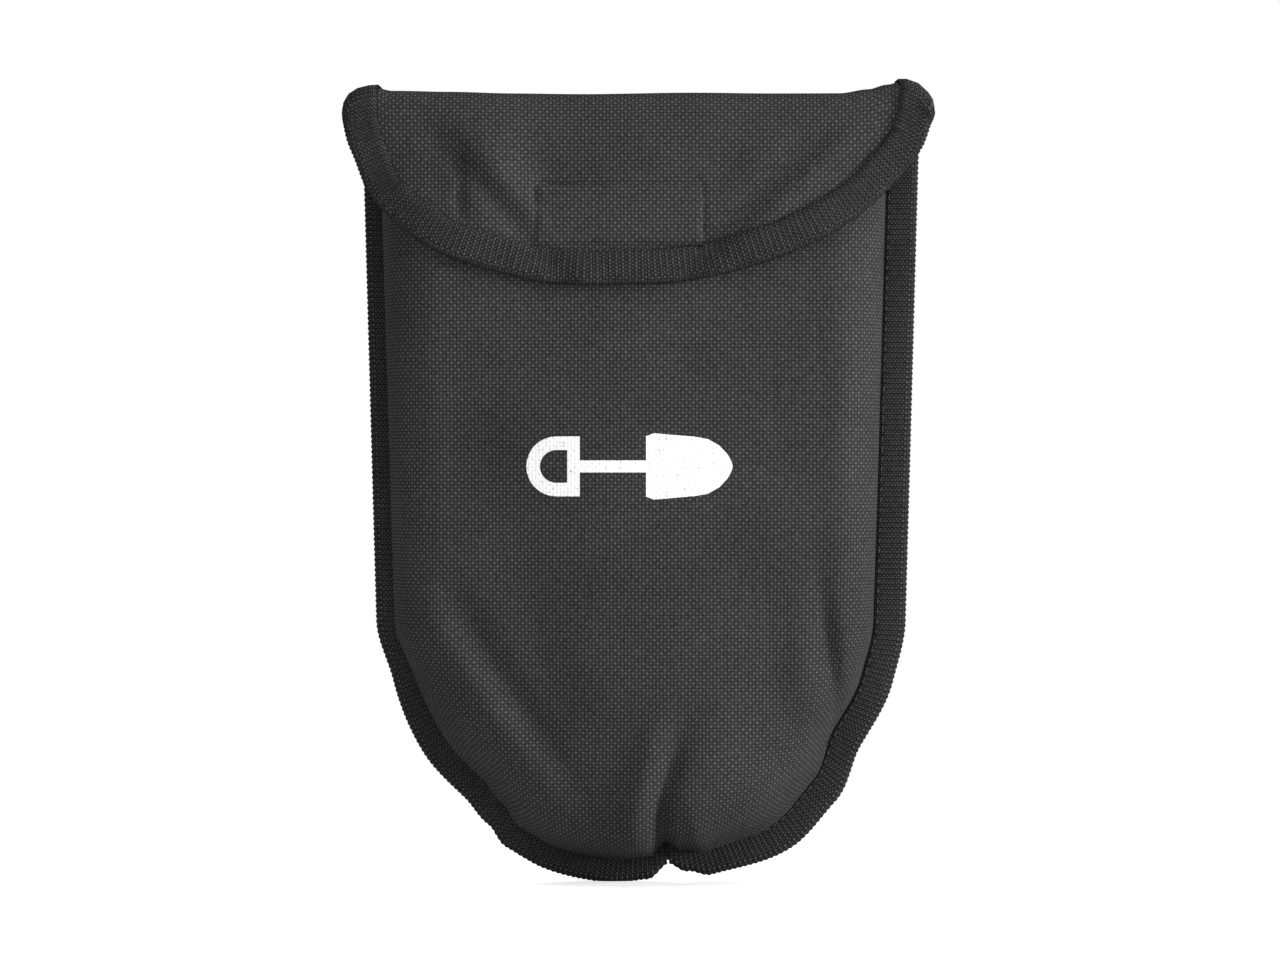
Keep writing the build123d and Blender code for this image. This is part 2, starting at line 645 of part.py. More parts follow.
save(handle_yoke, "handle_yoke")

print(
    f"back fold y {BACK_MID:.3f} z {FOLD_Z:.3f}, front fold y {FLAP_MID:.3f}, shaft y {SHAFT_Y:.3f}, "
    f"collar top {COLLAR_TOP:.3f}, low {POUCH_LOW:.3f}, half {FOLD_HALF:.3f}, flap {HALF_FLAP:.3f}, "
    f"grip z {GRIP_Z:.3f} y {HANDLE_Y:.3f}, front {FRONT_OUT:.3f}, foot z {FOOT_Z:.3f}, R {FOOT_R:.3f}"
)
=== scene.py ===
"""The looks of a belt pouch with a folded camp shovel in it, built around its CAD frame.

Metres, in the frame's own axes: X across the pouch, -Y to its front, +Z up. The origin is the belt passage.
"""

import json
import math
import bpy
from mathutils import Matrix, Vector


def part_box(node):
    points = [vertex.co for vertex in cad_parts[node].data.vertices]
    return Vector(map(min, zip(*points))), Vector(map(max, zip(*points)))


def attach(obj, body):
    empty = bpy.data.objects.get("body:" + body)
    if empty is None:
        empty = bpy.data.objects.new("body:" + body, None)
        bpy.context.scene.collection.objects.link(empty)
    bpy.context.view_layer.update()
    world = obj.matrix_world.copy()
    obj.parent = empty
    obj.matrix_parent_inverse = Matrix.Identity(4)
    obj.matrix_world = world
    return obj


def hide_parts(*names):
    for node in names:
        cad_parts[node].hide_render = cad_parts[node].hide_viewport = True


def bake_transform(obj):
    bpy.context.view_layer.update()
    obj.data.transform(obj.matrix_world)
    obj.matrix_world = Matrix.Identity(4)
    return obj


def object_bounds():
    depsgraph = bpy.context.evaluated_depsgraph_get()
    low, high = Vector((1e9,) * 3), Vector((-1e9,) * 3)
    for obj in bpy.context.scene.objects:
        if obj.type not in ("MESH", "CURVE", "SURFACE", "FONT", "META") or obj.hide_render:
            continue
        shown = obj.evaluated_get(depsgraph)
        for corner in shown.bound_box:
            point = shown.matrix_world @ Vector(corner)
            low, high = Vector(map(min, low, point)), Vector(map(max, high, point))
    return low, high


bl_info = {
    "name": "Shovel pouch",
    "version": (1, 0, 0),
    "blender": (4, 5, 0),
    "location": "3D View > Sidebar > Pouch",
    "description": "Builds the cloth, bindings, stitching and finishes of a shovel pouch",
    "category": "Object",
}

import bmesh
import bpy
from bpy.props import FloatProperty, FloatVectorProperty, IntProperty, PointerProperty
from bpy.types import Operator, Panel, PropertyGroup
from mathutils import Vector, noise
from mathutils.bvhtree import BVHTree

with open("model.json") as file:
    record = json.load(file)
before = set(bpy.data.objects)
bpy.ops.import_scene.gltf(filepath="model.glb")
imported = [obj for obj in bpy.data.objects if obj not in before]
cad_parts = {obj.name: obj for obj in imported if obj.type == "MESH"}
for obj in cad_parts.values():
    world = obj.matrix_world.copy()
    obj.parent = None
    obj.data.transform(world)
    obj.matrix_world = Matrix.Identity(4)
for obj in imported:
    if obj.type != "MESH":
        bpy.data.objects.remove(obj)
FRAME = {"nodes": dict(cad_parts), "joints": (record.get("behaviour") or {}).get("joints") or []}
CAD_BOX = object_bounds()
MM = 0.001


def joint_place(name):
    """Where a joint's axis passes, from the frame."""
    return Vector(next(j["pos_m"] for j in FRAME["joints"] if j["name"] == name))


# Places taken from the frame
BACK_FOLD = joint_place("flap_lift")
FRONT_FOLD = joint_place("flap_fold")
EDGE_LOW, EDGE_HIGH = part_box("edge_binding_left")
PANEL_LOW, PANEL_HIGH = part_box("front_panel")
BACK_LOW, BACK_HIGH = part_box("back_panel")
FLAP_LOW, FLAP_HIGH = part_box("flap_front_binding")
STRAP_LOW, STRAP_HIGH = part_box("belt_loop")
HOOKS_LOW, HOOKS_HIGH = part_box("hook_patch")

CLOTH = BACK_HIGH.y - BACK_LOW.y
SHELL_Y = PANEL_LOW.y + CLOTH / 2
SEAM_Y = BACK_LOW.y
BACK_Y = (BACK_LOW.y + BACK_HIGH.y) / 2
BACK_TOP = BACK_FOLD.z - 3 * MM
MOUTH_Z = PANEL_HIGH.z
FOLD_Z = FRONT_FOLD.z + CLOTH / 2
HALF_FLAP = FLAP_HIGH.x
FLAP_DROP = FRONT_FOLD.z - FLAP_LOW.z
FLAP_Y = FRONT_FOLD.y - 0.3 * MM
FLOOR_Z = CAD_BOX[0][2] - 1.5 * MM

# The pouch's outline: straight sides that lean out, and a round foot.
FOOT_R = 84.5 * MM
FOOT_Z = EDGE_LOW.z + FOOT_R
SIDE_LENGTH = EDGE_HIGH.z - FOOT_Z
OUTLINE_LENGTH = 2 * SIDE_LENGTH + math.pi * FOOT_R
LEAN = math.tan(math.radians(1.6))
RIGHT_SPREAD, LEFT_SPREAD = 2.2 * MM, 0.4 * MM
NOTCH_ANGLE = 7.0
NOTCH_LENGTH = SIDE_LENGTH + FOOT_R * math.radians(90 + NOTCH_ANGLE)
NOTCH_GAP = 0.5 * MM
SEAM_ROOM = 0.6 * MM  # a panel ends this far inside the binding's fold

# Pairs of a place and a value. Round the foot, places are degrees from straight down, and values millimetres.
FOOT_SHAPE = [  # how sewing and stuffing bend the outline
    (-90, 0.4), (-76, -2.6), (-58, -2.4), (-44, -3.6), (-36, -1.8), (-30, 1.2), (-20, 2.2), (-6, 1.8),
    (2, 0.2), (7, -4.4), (11, -0.9), (16, 2.0), (34, 5.0), (47, 2.8), (60, -1.4), (76, 0.6), (90, 2.2),
]
# From the outline in to the stuffed wall, the rounding of the wall's front edge, and how far the wall swells.
SEAM_INSET = [(-90, 7.6), (-60, 9.8), (-7, 9.0), (7, 8.2), (40, 10.4), (90, 11.0)]
FRONT_ROUND = [(-90, 16), (-40, 20), (5, 20), (25, 27), (50, 28), (72, 22), (90, 17)]
BELLY = [(-90, 1.8), (0, 1.2), (90, 0.6)]
FLAP_SHAPE = [  # how much wider the flap's rim is than an ellipse
    (-90, 0.0), (-73, 0.016), (-56, 0.056), (-40, 0.066), (-22, 0.038), (0, -0.008), (30, -0.025),
    (60, -0.02), (75, 0.002), (90, 0.003),
]
# How far the fold stands up at the flap's corners, by millimetres from the middle.
LEFT_EAR = [(40, -0.8), (60, -0.4), (78, 0.0), (83, 0.9), (87, 0.5), (90, -0.9), (93, -4.5)]
RIGHT_EAR = [
    (40, -0.8), (64, -0.6), (73, 0.6), (79, 2.0), (83, 2.7), (86, 2.6), (89, 1.2), (91.5, -1.6), (93, -5.0),
]

# The stuffed front's face: how far its foot is drawn in, its crown, and its lean to each side.
FOOT_DRAWN, DRAWN_FROM, DRAWN_OVER = 12.5 * MM, -12 * MM, 145 * MM
SLACK_FROM, SLACK_OVER = 20 * MM, 50 * MM
CROWN, CROWN_HALF = 1.3 * MM, 60 * MM
RIGHT_LEAN, LEFT_LEAN, LEAN_FROM = 6.5 * MM, 6.6 * MM, 8 * MM
# The dart: a sewn line with a ridge on its left and a swelling on its right.
DART_X, DART_SLOPE, DART_FOOT, DART_TOP, DART_FADE = 6.8 * MM, 0.24, -146 * MM, -104 * MM, 36 * MM
DART_DEPTH, DART_RIDGE, DART_SWELL = 3.3 * MM, 4.8 * MM, 2.2 * MM
# Creases of the front: a point they pass in X and Z, slope, middle height, reach in height, width and depth,
# in millimetres. A depth below 0 stands out.
CREASES = [
    (61.2, -95, -0.12, -100, 24, 3.2, 5.0),
    (52.2, -95, -0.12, -100, 30, 6.0, -1.6),
    (-30.0, -90, -0.25, -95, 35, 10.0, 1.5),
    (-56.0, -80, -0.62, -105, 32, 6.0, 2.6),
    (-68.0, -80, -0.62, -105, 32, 7.0, -1.8),
]
# Soft folds that run down from the flap's corners: start in X, slant, width and depth, in millimetres.
FLAP_FOLDS = [
    (-76, -0.9, 5.0, 1.8), (-64, -0.8, 6.0, -1.8), (-36, -0.25, 7.0, 1.3),
    (36, 0.35, 7.0, 1.2), (68, 0.95, 6.0, 1.6), (80, 1.0, 5.0, -1.7),
]

# The front panel's grid: the height, from -1 to 1, at which its foot ends, and the rings, from 0 in the middle
# to 1 at the edge, at which its seam, wall and rounding start.
FOOT_ROWS = -0.25
SEAM_RING, WALL_RING, ROUND_RING = 0.94, 0.66, 0.50
WALL_DRAFT = 1.0 * MM

# The flap: its cloth's length is measured down from the front fold, and below 0 goes back over the mouth.
FLAP_FOOT_ROWS = 0.3  # the height in its grid at which the hanging part ends
FRONT_FOLD_R, BACK_FOLD_R = 4 * MM, 2.4 * MM
BACK_FOLD_F = -(BACK_Y - FLAP_Y)
STRIP_MIDDLE = BACK_FOLD_F / 2
STRIP_BACK = BACK_FOLD_F - (FOLD_Z - BACK_TOP)
RIM_LENGTH = 240 * MM
PATCH_SEAM = 1.5 * MM  # from the hook patch out to its seam
PATCH_COVER = 0.62 * MM  # from the hook patch's face to the middle of the cloth over it

# The belt loop's webbing: what is sewn down at each end, the slope up from it, its seam and its ribs.
STRAP_THICK, STRAP_TAIL, STRAP_RAMP = 1.5 * MM, 18 * MM, 11 * MM
STRAP_SEAM_IN = 3.5 * MM
STRAP_RIB_PITCH, STRAP_RIB = 2.1 * MM, 0.28 * MM
# The mouth: its binding's width, and the front's grid measured along it as a length.
MOUTH_TAPE = 10 * MM
MOUTH_SCALE, MOUTH_REACH, MOUTH_RUN = 100 * MM, 93 * MM, 270 * MM

# Faces across and down
BACK_GRID, FLAP_GRID, STRIP_GRID, STRAP_GRID = (64, 90), (196, 100), (196, 24), (112, 120)
MOUTH_FACES, STRIP_FACES = 150, 74

# The printed shovel, in millimetres from its own centre.
MARK_CENTRE = (-2.0, 0, -33.5)
MARK_GRIP_X, MARK_BAR_X, MARK_NECK_X, MARK_END_X = -20.5, -16.5, 4.5, 32.0
MARK_RING_X, MARK_RING_R, MARK_HOLE_R = -24.0, 9.5, 5.2
MARK_SHAFT = 1.9
MARK_HALF, MARK_HIGH = 32, 11

WORLD_LIGHT = 0.25
LAMP_AIM = (0, 0, -0.04)
LAMPS = [  # name, place, size and power
    ("key_lamp", (1.8, -0.65, 0.22), 0.7, 40.0),
    ("front_lamp", (0.25, -1.1, 1.6), 1.0, 16.0),
    ("low_lamp", (-0.1, -1.7, 0.1), 0.8, 6.0),
    ("back_lamp", (-0.9, 1.5, 0.8), 0.9, 24.0),
]
FLOOR_COLOUR = (0.82, 0.82, 0.82)
FLOOR_LIFT = 0.62  # light of its own where it is seen
FLOOR_FADE = (0.22, 0.5)  # distances between which it turns white
FLOOR_SIZE = 12.0
LENS, SENSOR = 142.2, 36.0
EYE = (0.6 * MM, FLAP_Y - 1.6, -36.7 * MM)


# ------------------------------------------------------------------ settings
class PouchSizes(PropertyGroup):
    """Sizes that a user would change"""

    cloth_thick: FloatProperty(
        name="Cloth thickness", description="Lined cloth", default=0.9 * MM, unit="LENGTH"
    )
    tape_width: FloatProperty(
        name="Binding width", description="Binding tape seen on each face", default=10.2 * MM, unit="LENGTH"
    )
    tape_thick: FloatProperty(
        name="Binding thickness", description="One layer of tape", default=0.8 * MM, unit="LENGTH"
    )
    stitch: FloatProperty(name="Stitch", description="Length of one stitch", default=2.6 * MM, unit="LENGTH")
    stitch_gap: FloatProperty(
        name="Stitch gap", description="Cloth between two stitches", default=0.7 * MM, unit="LENGTH"
    )
    thread: FloatProperty(name="Thread", description="Thread diameter", default=0.45 * MM, unit="LENGTH")
    weave_pitch: FloatProperty(
        name="Weave pitch", description="One thread of the cloth", default=1.13 * MM, unit="LENGTH"
    )
    rib_pitch: FloatProperty(
        name="Rib pitch", description="One rib of the tape", default=1.68 * MM, unit="LENGTH"
    )
    rib_depth: FloatProperty(
        name="Rib depth", description="Relief of the tape's ribs", default=0.18 * MM, unit="LENGTH"
    )
    columns: IntProperty(name="Columns", description="Faces across a cloth panel", default=160, min=24)
    rows: IntProperty(name="Rows", description="Faces down a cloth panel", default=190, min=24)


class PouchColours(PropertyGroup):
    """Colours that a user would change"""

    cloth: FloatVectorProperty(
        name="Cloth", description="Woven polyester", default=(0.067, 0.067, 0.068), subtype="COLOR"
    )
    tape: FloatVectorProperty(
        name="Tape", description="Binding tape", default=(0.056, 0.056, 0.057), subtype="COLOR"
    )
    thread: FloatVectorProperty(
        name="Thread", description="Sewing thread", default=(0.014, 0.014, 0.015), subtype="COLOR"
    )
    ink: FloatVectorProperty(
        name="Ink", description="Printed mark", default=(0.93, 0.93, 0.93), subtype="COLOR"
    )
    paint: FloatVectorProperty(
        name="Paint", description="Painted steel", default=(0.03, 0.031, 0.033), subtype="COLOR"
    )


def sizes():
    """The sizes now set."""
    return bpy.context.scene.pouch_sizes


def colours():
    """The colours now set."""
    return bpy.context.scene.pouch_colours


# ------------------------------------------------------------------ shape helpers
def eased(t):
    """0 to 1 with a gentle start and end."""
    t = min(max(t, 0.0), 1.0)
    return t * t * (3 - 2 * t)


def along(points, x):
    """A smooth value between the (place, value) pairs on either side of x."""
    if x <= points[0][0]:
        return points[0][1]
    for (x0, y0), (x1, y1) in zip(points, points[1:]):
        if x <= x1:
            return y0 + (y1 - y0) * eased((x - x0) / (x1 - x0))
    return points[-1][1]


def hump(x, centre, width):
    """A soft bump that is 1 at the centre."""
    return math.exp(-(((x - centre) / width) ** 2))


def wander(x, z, scale, seed=0.0):
    """Smooth noise from -1 to 1 over a surface."""
    return noise.noise(Vector((x / scale, z / scale, seed)))


def square_to_disc(u, w):
    """A point of a square as a point of the round disc that fills it."""
    return u * math.sqrt(1 - w * w / 2), w * math.sqrt(1 - u * u / 2)


def foot_radius(a, b):
    """The outline's distance from the foot's centre in a direction."""
    return FOOT_R + along(FOOT_SHAPE, math.degrees(math.atan2(a, -b))) * MM


def side_x(side, z):
    """The outline's X on the leaning sides."""
    return side * (FOOT_R + max(z - FOOT_Z, 0) * LEAN + (RIGHT_SPREAD if side > 0 else LEFT_SPREAD))


def outline_point(distance):
    """A point of the pouch's outline and its inward direction, by length from the top of the left side."""
    if distance < SIDE_LENGTH:
        z = EDGE_HIGH.z - distance
        return Vector((side_x(-1, z), 0, z)), Vector((1, 0, 0))
    if distance > OUTLINE_LENGTH - SIDE_LENGTH:
        z = EDGE_HIGH.z - (OUTLINE_LENGTH - distance)
        return Vector((side_x(1, z), 0, z)), Vector((-1, 0, 0))
    turn = (distance - SIDE_LENGTH) / FOOT_R
    a, b = -math.cos(turn), -math.sin(turn)
    radius = foot_radius(a, b)
    return Vector((a * radius, 0, FOOT_Z + b * radius)), Vector((-a, 0, -b))


def rows_split(v, share):
    """Splits a grid's height: (w, 0) in the round foot, with w from -1 to 0, or (0, h) above it."""
    if v < share:
        return (v - share) / (share + 1), 0.0
    return 0.0, (v - share) / (1 - share)


# ------------------------------------------------------------------ mesh helpers
def new_object(name, bm):
    """A smooth-shaded object of a bmesh, in the scene."""
    mesh = bpy.data.meshes.new(name)
    bm.to_mesh(mesh)
    bm.free()
    mesh.shade_smooth()
    obj = bpy.data.objects.new(name, mesh)
    bpy.context.scene.collection.objects.link(obj)
    return obj


def shaped_grid(name, columns, rows, place):
    """A grid whose points go where place(u, v) says, with u and v from -1 to 1: a point and its UV."""
    bm = bmesh.new()
    bmesh.ops.create_grid(bm, x_segments=columns, y_segments=rows, size=1)
    layer = bm.loops.layers.uv.new("Cloth")
    flat = {}
    for vert in bm.verts:
        vert.co, flat[vert] = place(vert.co.x, vert.co.y)
    for face in bm.faces:
        for loop in face.loops:
            loop[layer].uv = flat[loop.vert]
    return new_object(name, bm)


def apply_modifiers(obj):
    """Turns what the modifiers give into the mesh itself."""
    depsgraph = bpy.context.evaluated_depsgraph_get()
    mesh = bpy.data.meshes.new_from_object(obj.evaluated_get(depsgraph))
    obj.modifiers.clear()
    obj.data = mesh
    obj.data.name = obj.name
    return obj


def thicken(obj, thickness, bevel=0.0):
    """Gives a sheet its thickness, half on each side, and breaks its edges."""
    wall = obj.modifiers.new("Thickness", "SOLIDIFY")
    wall.thickness = thickness
    wall.offset = 0.0
    wall.use_even_offset = False
    if bevel:
        edge = obj.modifiers.new("Edges", "BEVEL")
        edge.width = bevel
        edge.segments = 2
        edge.limit_method = "ANGLE"
        edge.angle_limit = math.radians(60)
    return apply_modifiers(obj)


def surface_normal(surface, p, q):
    """The outward normal of surface(p, q), towards the front for a sheet seen from there."""
    step = 0.4 * MM
    du = surface(p + step, q) - surface(p - step, q)
    dv = surface(p, q + step) - surface(p, q - step)
    return du.cross(dv).normalized()


def tape_on(name, path, surface, gap, width, body=None):
    """Binding folded over an edge. path(t) gives the edge's flat point, inward direction and length."""
    thick = sizes().tape_thick
    lift = gap + thick / 2
    # Round the folded tape: how far in from the fold, as a share of the width, and on which face.
    section = [(1.0, 1), (0.75, 1), (0.45, 1), (0.2, 1), (0.07, 0.95), (0.0, 0.6), (-0.035, 0.0)]
    section += [(reach, -face) for reach, face in reversed(section[:-1])]
    count = len(section) - 1

    def place(u, v):
        point, inward, length = path((v + 1) / 2)
        reach, side = section[int(round((u + 1) / 2 * count))]
        ripple = 0.12 * MM * wander(length, reach * width, 4 * MM, side + 3)
        rib = sizes().rib_depth * math.cos(2 * math.pi * length / sizes().rib_pitch)
        local = width + 0.35 * MM * wander(length, 0, 6 * MM, side + 9) * abs(side)
        reach -= rib / local * (1 - abs(side))
        ripple += rib * side
        p, q = point[0] + inward[0] * reach * local, point[1] + inward[1] * reach * local
        normal = surface_normal(surface, p, q)
        spot = surface(p, q) + normal * (side * (lift + 0.1 * MM * abs(side)) + ripple)
        return spot, (length, (1 - side * (1 - reach)) * local)

    obj = shaped_grid(name, count, path.segments, place)
    thicken(obj, thick)
    return dress(obj, tape_material(), body)


def stitches_on(name, lines, surface, offset, body=None):
    """Rows of sunk thread stitches along flat polylines, on one side of a surface."""
    length, gap, thread = sizes().stitch, sizes().stitch_gap, sizes().thread
    bm = bmesh.new()
    for line in lines:
        for start, end in walk(line, length + gap):
            middle = (start + end) / 2
            direction = surface(*end) - surface(*start)
            normal = surface_normal(surface, *middle) * (1 if offset > 0 else -1)
            centre = surface(*middle) + normal * (abs(offset) + thread * 0.15)
            made = bmesh.ops.create_uvsphere(bm, u_segments=8, v_segments=5, radius=0.5)
            across = normal.cross(direction).normalized()
            forward = direction.normalized()
            for vert in made["verts"]:
                x, y, z = vert.co
                x *= length / 1.05
                vert.co = centre + forward * x + across * (y * thread * 1.25) + normal * (z * thread)
    return dress(new_object(name, bm), thread_material(), body)


def walk(line, step):
    """Cuts a flat polyline into stitch-long pairs of points."""
    points = [Vector(p) for p in line]
    pairs, carried, last = [], 0.0, points[0]
    start = points[0]
    for point in points[1:]:
        piece = (point - last).length
        while carried + piece >= step:
            share = (step - carried) / piece
            last = last.lerp(point, share)
            pairs.append((start, last.copy()))
            start, carried = last.copy(), 0.0
            piece = (point - last).length
        carried += piece
        last = point
    return pairs


def dress(obj, material, body=None):
    """Gives a piece its one material, and the body that it moves with."""
    obj.data.materials.clear()
    obj.data.materials.append(material)
    if body:
        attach(obj, body)
    return obj


# ------------------------------------------------------------------ surfaces of the pouch
def face_y(x, z):
    """Depth of the stuffed front's face: full at the top, drawn in to the foot, dented where it is slack."""
    drawn = FOOT_DRAWN * max((DRAWN_FROM - z) / DRAWN_OVER, 0) ** 1.8
    below = eased((SLACK_FROM - z) / SLACK_OVER)
    crown = -CROWN * (1 - min(abs(x) / CROWN_HALF, 1) ** 2) * below
    slack = (0.8 * MM * wander(x, z, 55 * MM) + 0.35 * MM * wander(x, z, 21 * MM, 5.0)) * below
    lean = RIGHT_LEAN * eased((x - LEAN_FROM) / (60 * MM)) * eased((-50 * MM - z) / (60 * MM))
    lean += LEFT_LEAN * eased((-LEAN_FROM - x) / (62 * MM)) * below
    return SHELL_Y + drawn + crown + slack + lean


def dents(x, z):
    """How far the front's dart and creases push it in."""
    low = eased((DART_TOP - z) / DART_FADE)
    line = DART_X + DART_SLOPE * max(z - DART_FOOT, 0)
    spread = 2.6 * MM + 3 * MM * (1 - low)
    push = low * (DART_DEPTH * hump(x, line, spread) - DART_RIDGE * hump(x, line - 8 * MM, 5.5 * MM))
    push -= low * DART_SWELL * hump(x, line + 11 * MM, 9 * MM)
    beside_seam = eased((30 * MM - z) / (50 * MM)) * eased((z + 100 * MM) / (50 * MM))
    push -= 1.0 * MM * hump(x, 65.5 * MM, 4 * MM) * beside_seam
    for start, height, slope, middle, reach, width, depth in CREASES:
        line = start * MM + slope * (z - height * MM)
        push += depth * MM * hump(x, line, width * MM) * hump(z, middle * MM, reach * MM)
    return push


def front_place(u, v):
    """Where a point of the front panel's grid lies, and where it lay in the flat cloth."""
    w, h = rows_split(v, FOOT_ROWS)
    if h > 0:
        rho, side = abs(u), (1 if u >= 0 else -1)
        direction = Vector((side, 0, 0))
        z_row = FOOT_Z + h * (MOUTH_Z - FOOT_Z)
        centre, reach = Vector((0, 0, z_row)), abs(side_x(side, z_row))
        angle = 90 * side
    else:
        a, b = square_to_disc(u, w)
        rho = math.hypot(a, b)
        direction = Vector((a, 0, b)) / rho if rho > 1e-6 else Vector((0, 0, -1))
        centre, reach = Vector((0, 0, FOOT_Z)), foot_radius(direction.x, direction.z)
        angle = math.degrees(math.atan2(direction.x, -direction.z))
    inset, corner, belly = (along(shape, angle) * MM for shape in (SEAM_INSET, FRONT_ROUND, BELLY))
    wall_r = reach - inset - WALL_DRAFT
    if rho >= SEAM_RING:
        share = (1 - rho) / (1 - SEAM_RING)
        radius = reach - SEAM_ROOM - (inset - SEAM_ROOM) * share
    elif rho >= WALL_RING:
        share = (SEAM_RING - rho) / (SEAM_RING - WALL_RING)
        radius = reach - inset + belly * math.sin(math.pi * share) - WALL_DRAFT * share
    elif rho >= ROUND_RING:
        turn = (WALL_RING - rho) / (WALL_RING - ROUND_RING) * math.pi / 2
        radius = wall_r - corner * (1 - math.cos(turn))
    else:
        radius = (wall_r - corner) * rho / ROUND_RING
    spot = centre + direction * radius
    front = face_y(spot.x, spot.z)
    wall_depth = SEAM_Y - front - corner
    wall_top = wall_r + corner * (math.pi / 2 - 1)
    if rho >= SEAM_RING:
        spot.y = SEAM_Y - CLOTH / 2
        length = wall_top + wall_depth + (rho - SEAM_RING) / (1 - SEAM_RING) * inset
    elif rho >= WALL_RING:
        rise = 1 - (1 - share) ** 1.15
        spot.y = SEAM_Y - CLOTH / 2 - rise * (wall_depth - CLOTH / 2)
        length = wall_top + wall_depth * (1 - share)
    elif rho >= ROUND_RING:
        spot.y = front + corner - corner * math.sin(turn)
        length = wall_r - corner + corner * (math.pi / 2 - turn)
    else:
        spot.y = front
        length = radius
    spot.y += dents(spot.x, spot.z) * eased((0.9 - rho) / 0.3)
    flat = direction * length
    return spot, ((flat.x, z_row) if h > 0 else (flat.x, FOOT_Z + flat.z))


def flange(x, z):
    """The sewn edge, in the plane of the back, with the waver of real cloth."""
    waver = 0.7 * MM * wander(x, z, 60 * MM, 2.0)
    return Vector((x, SEAM_Y + waver * eased((abs(x) + abs(z)) / 0.05), z))


def back_place(u, v):
    """The back panel: flat, as it lies against the wearer."""
    w, h = rows_split(v, FOOT_ROWS)
    if h > 0:
        z = FOOT_Z + h * (BACK_TOP - FOOT_Z)
        side = 1 if u >= 0 else -1
        x = u * (abs(side_x(side, z)) - SEAM_ROOM)
    else:
        a, b = square_to_disc(u, w)
        rho = math.hypot(a, b)
        radius = (foot_radius(a, b) if rho > 1e-6 else FOOT_R) - SEAM_ROOM
        x, z = a * radius, FOOT_Z + b * radius
    return Vector((x, BACK_Y + 0.12 * MM * wander(x, z, 30 * MM, 7.0), z)), (x, z)


def flap_surface(x, f):
    """The flap's middle surface from its flat cloth: f is the length below the front fold, below 0 on top."""
    if f >= FRONT_FOLD_R:
        y, z = FLAP_Y, FOLD_Z - f
    elif f > -FRONT_FOLD_R:
        turn = (f + FRONT_FOLD_R) / (2 * FRONT_FOLD_R) * math.pi / 2
        y, z = FLAP_Y + FRONT_FOLD_R * (1 - math.sin(turn)), FOLD_Z - FRONT_FOLD_R * (1 - math.cos(turn))
    elif f >= BACK_FOLD_F + BACK_FOLD_R:
        y, z = FLAP_Y - f, FOLD_Z
    elif f > BACK_FOLD_F - BACK_FOLD_R:
        turn = (BACK_FOLD_F + BACK_FOLD_R - f) / (2 * BACK_FOLD_R) * math.pi / 2
        y, z = BACK_Y - BACK_FOLD_R * (1 - math.sin(turn)), FOLD_Z - BACK_FOLD_R * (1 - math.cos(turn))
    else:
        y, z = BACK_Y, FOLD_Z - (BACK_FOLD_F - f)
    hang = eased(f / (30 * MM))
    edge = eased((abs(x) - 52 * MM) / (40 * MM))
    top = eased((f + 40 * MM) / (30 * MM))
    y += hang * 5.5 * MM * edge + 1.4 * MM * eased((f - 35 * MM) / (22 * MM))
    rise = along(RIGHT_EAR if x > 0 else LEFT_EAR, abs(x) / MM) * MM
    z += rise * top * (1 - eased(f / (26 * MM if rise > 0 else 12 * MM)))
    z += (0.7 * MM + 0.6 * MM * wander(x, 0, 40 * MM, 17.0)) * top * (1 - eased(f / (20 * MM)))
    y -= hang * 1.2 * MM * wander(x, f, 34 * MM, 11.0) + hang * 0.4 * MM * wander(x, f, 13 * MM, 13.0)
    fading = 1 - 0.6 * eased((f - 20 * MM) / (30 * MM))
    for start, slant, width, depth in FLAP_FOLDS:
        y += depth * MM * hang * hump(x - start * MM + slant * f, 0, width * MM) * fading
    crease = eased((f - 14 * MM) / (8 * MM)) * (1 - eased((f - 34 * MM) / (8 * MM)))
    crease *= hump(x, -56 * MM, 1.8 * MM)
    swell = hump(x, -48 * MM, 9 * MM) * hump(f, 22 * MM, 14 * MM)
    y += 2.0 * MM * crease - 1.6 * MM * swell + 0.7 * MM * patch_groove(x, f)
    y -= max(y - HOOKS_LOW.y + PATCH_COVER, 0) * eased((past_hooks(x, f) + 1.6 * MM) / (1.3 * MM))
    return Vector((x, y, z))


def past_hooks(x, f):
    """How far inside the hook patch's rectangle a point of the flap lies, and less than 0 outside."""
    return min(x - HOOKS_LOW.x, HOOKS_HIGH.x - x, f - (FOLD_Z - HOOKS_HIGH.z), FOLD_Z - HOOKS_LOW.z - f)


def patch_groove(x, f):
    """1 on the line that sews the hooks to the flap, where the thread pulls the cloth in."""
    inside = min(x - HOOKS_LOW.x, HOOKS_HIGH.x - x, f - (FOLD_Z - HOOKS_HIGH.z)) + PATCH_SEAM
    above_tape = 1 - eased((f - 43 * MM) / (5 * MM))
    return (hump(inside, 0, 0.9 * MM) - 0.45 * eased(inside / (3 * MM))) * above_tape


def flap_half_width(f):
    """Half the flap's width on top, from the front fold back to the sewn edge."""
    share = min(max(f / BACK_FOLD_F, 0), 1)
    return HALF_FLAP + (side_x(1, BACK_TOP) - RIGHT_SPREAD / 2 - HALF_FLAP) * share


def flap_rim(angle):
    """Flat point of the hanging flap's rim, by degrees from straight down."""
    grow = 1 + along(FLAP_SHAPE, angle)
    a, b = math.sin(math.radians(angle)), math.cos(math.radians(angle))
    return Vector((HALF_FLAP * a * grow, FLAP_DROP * b * grow))


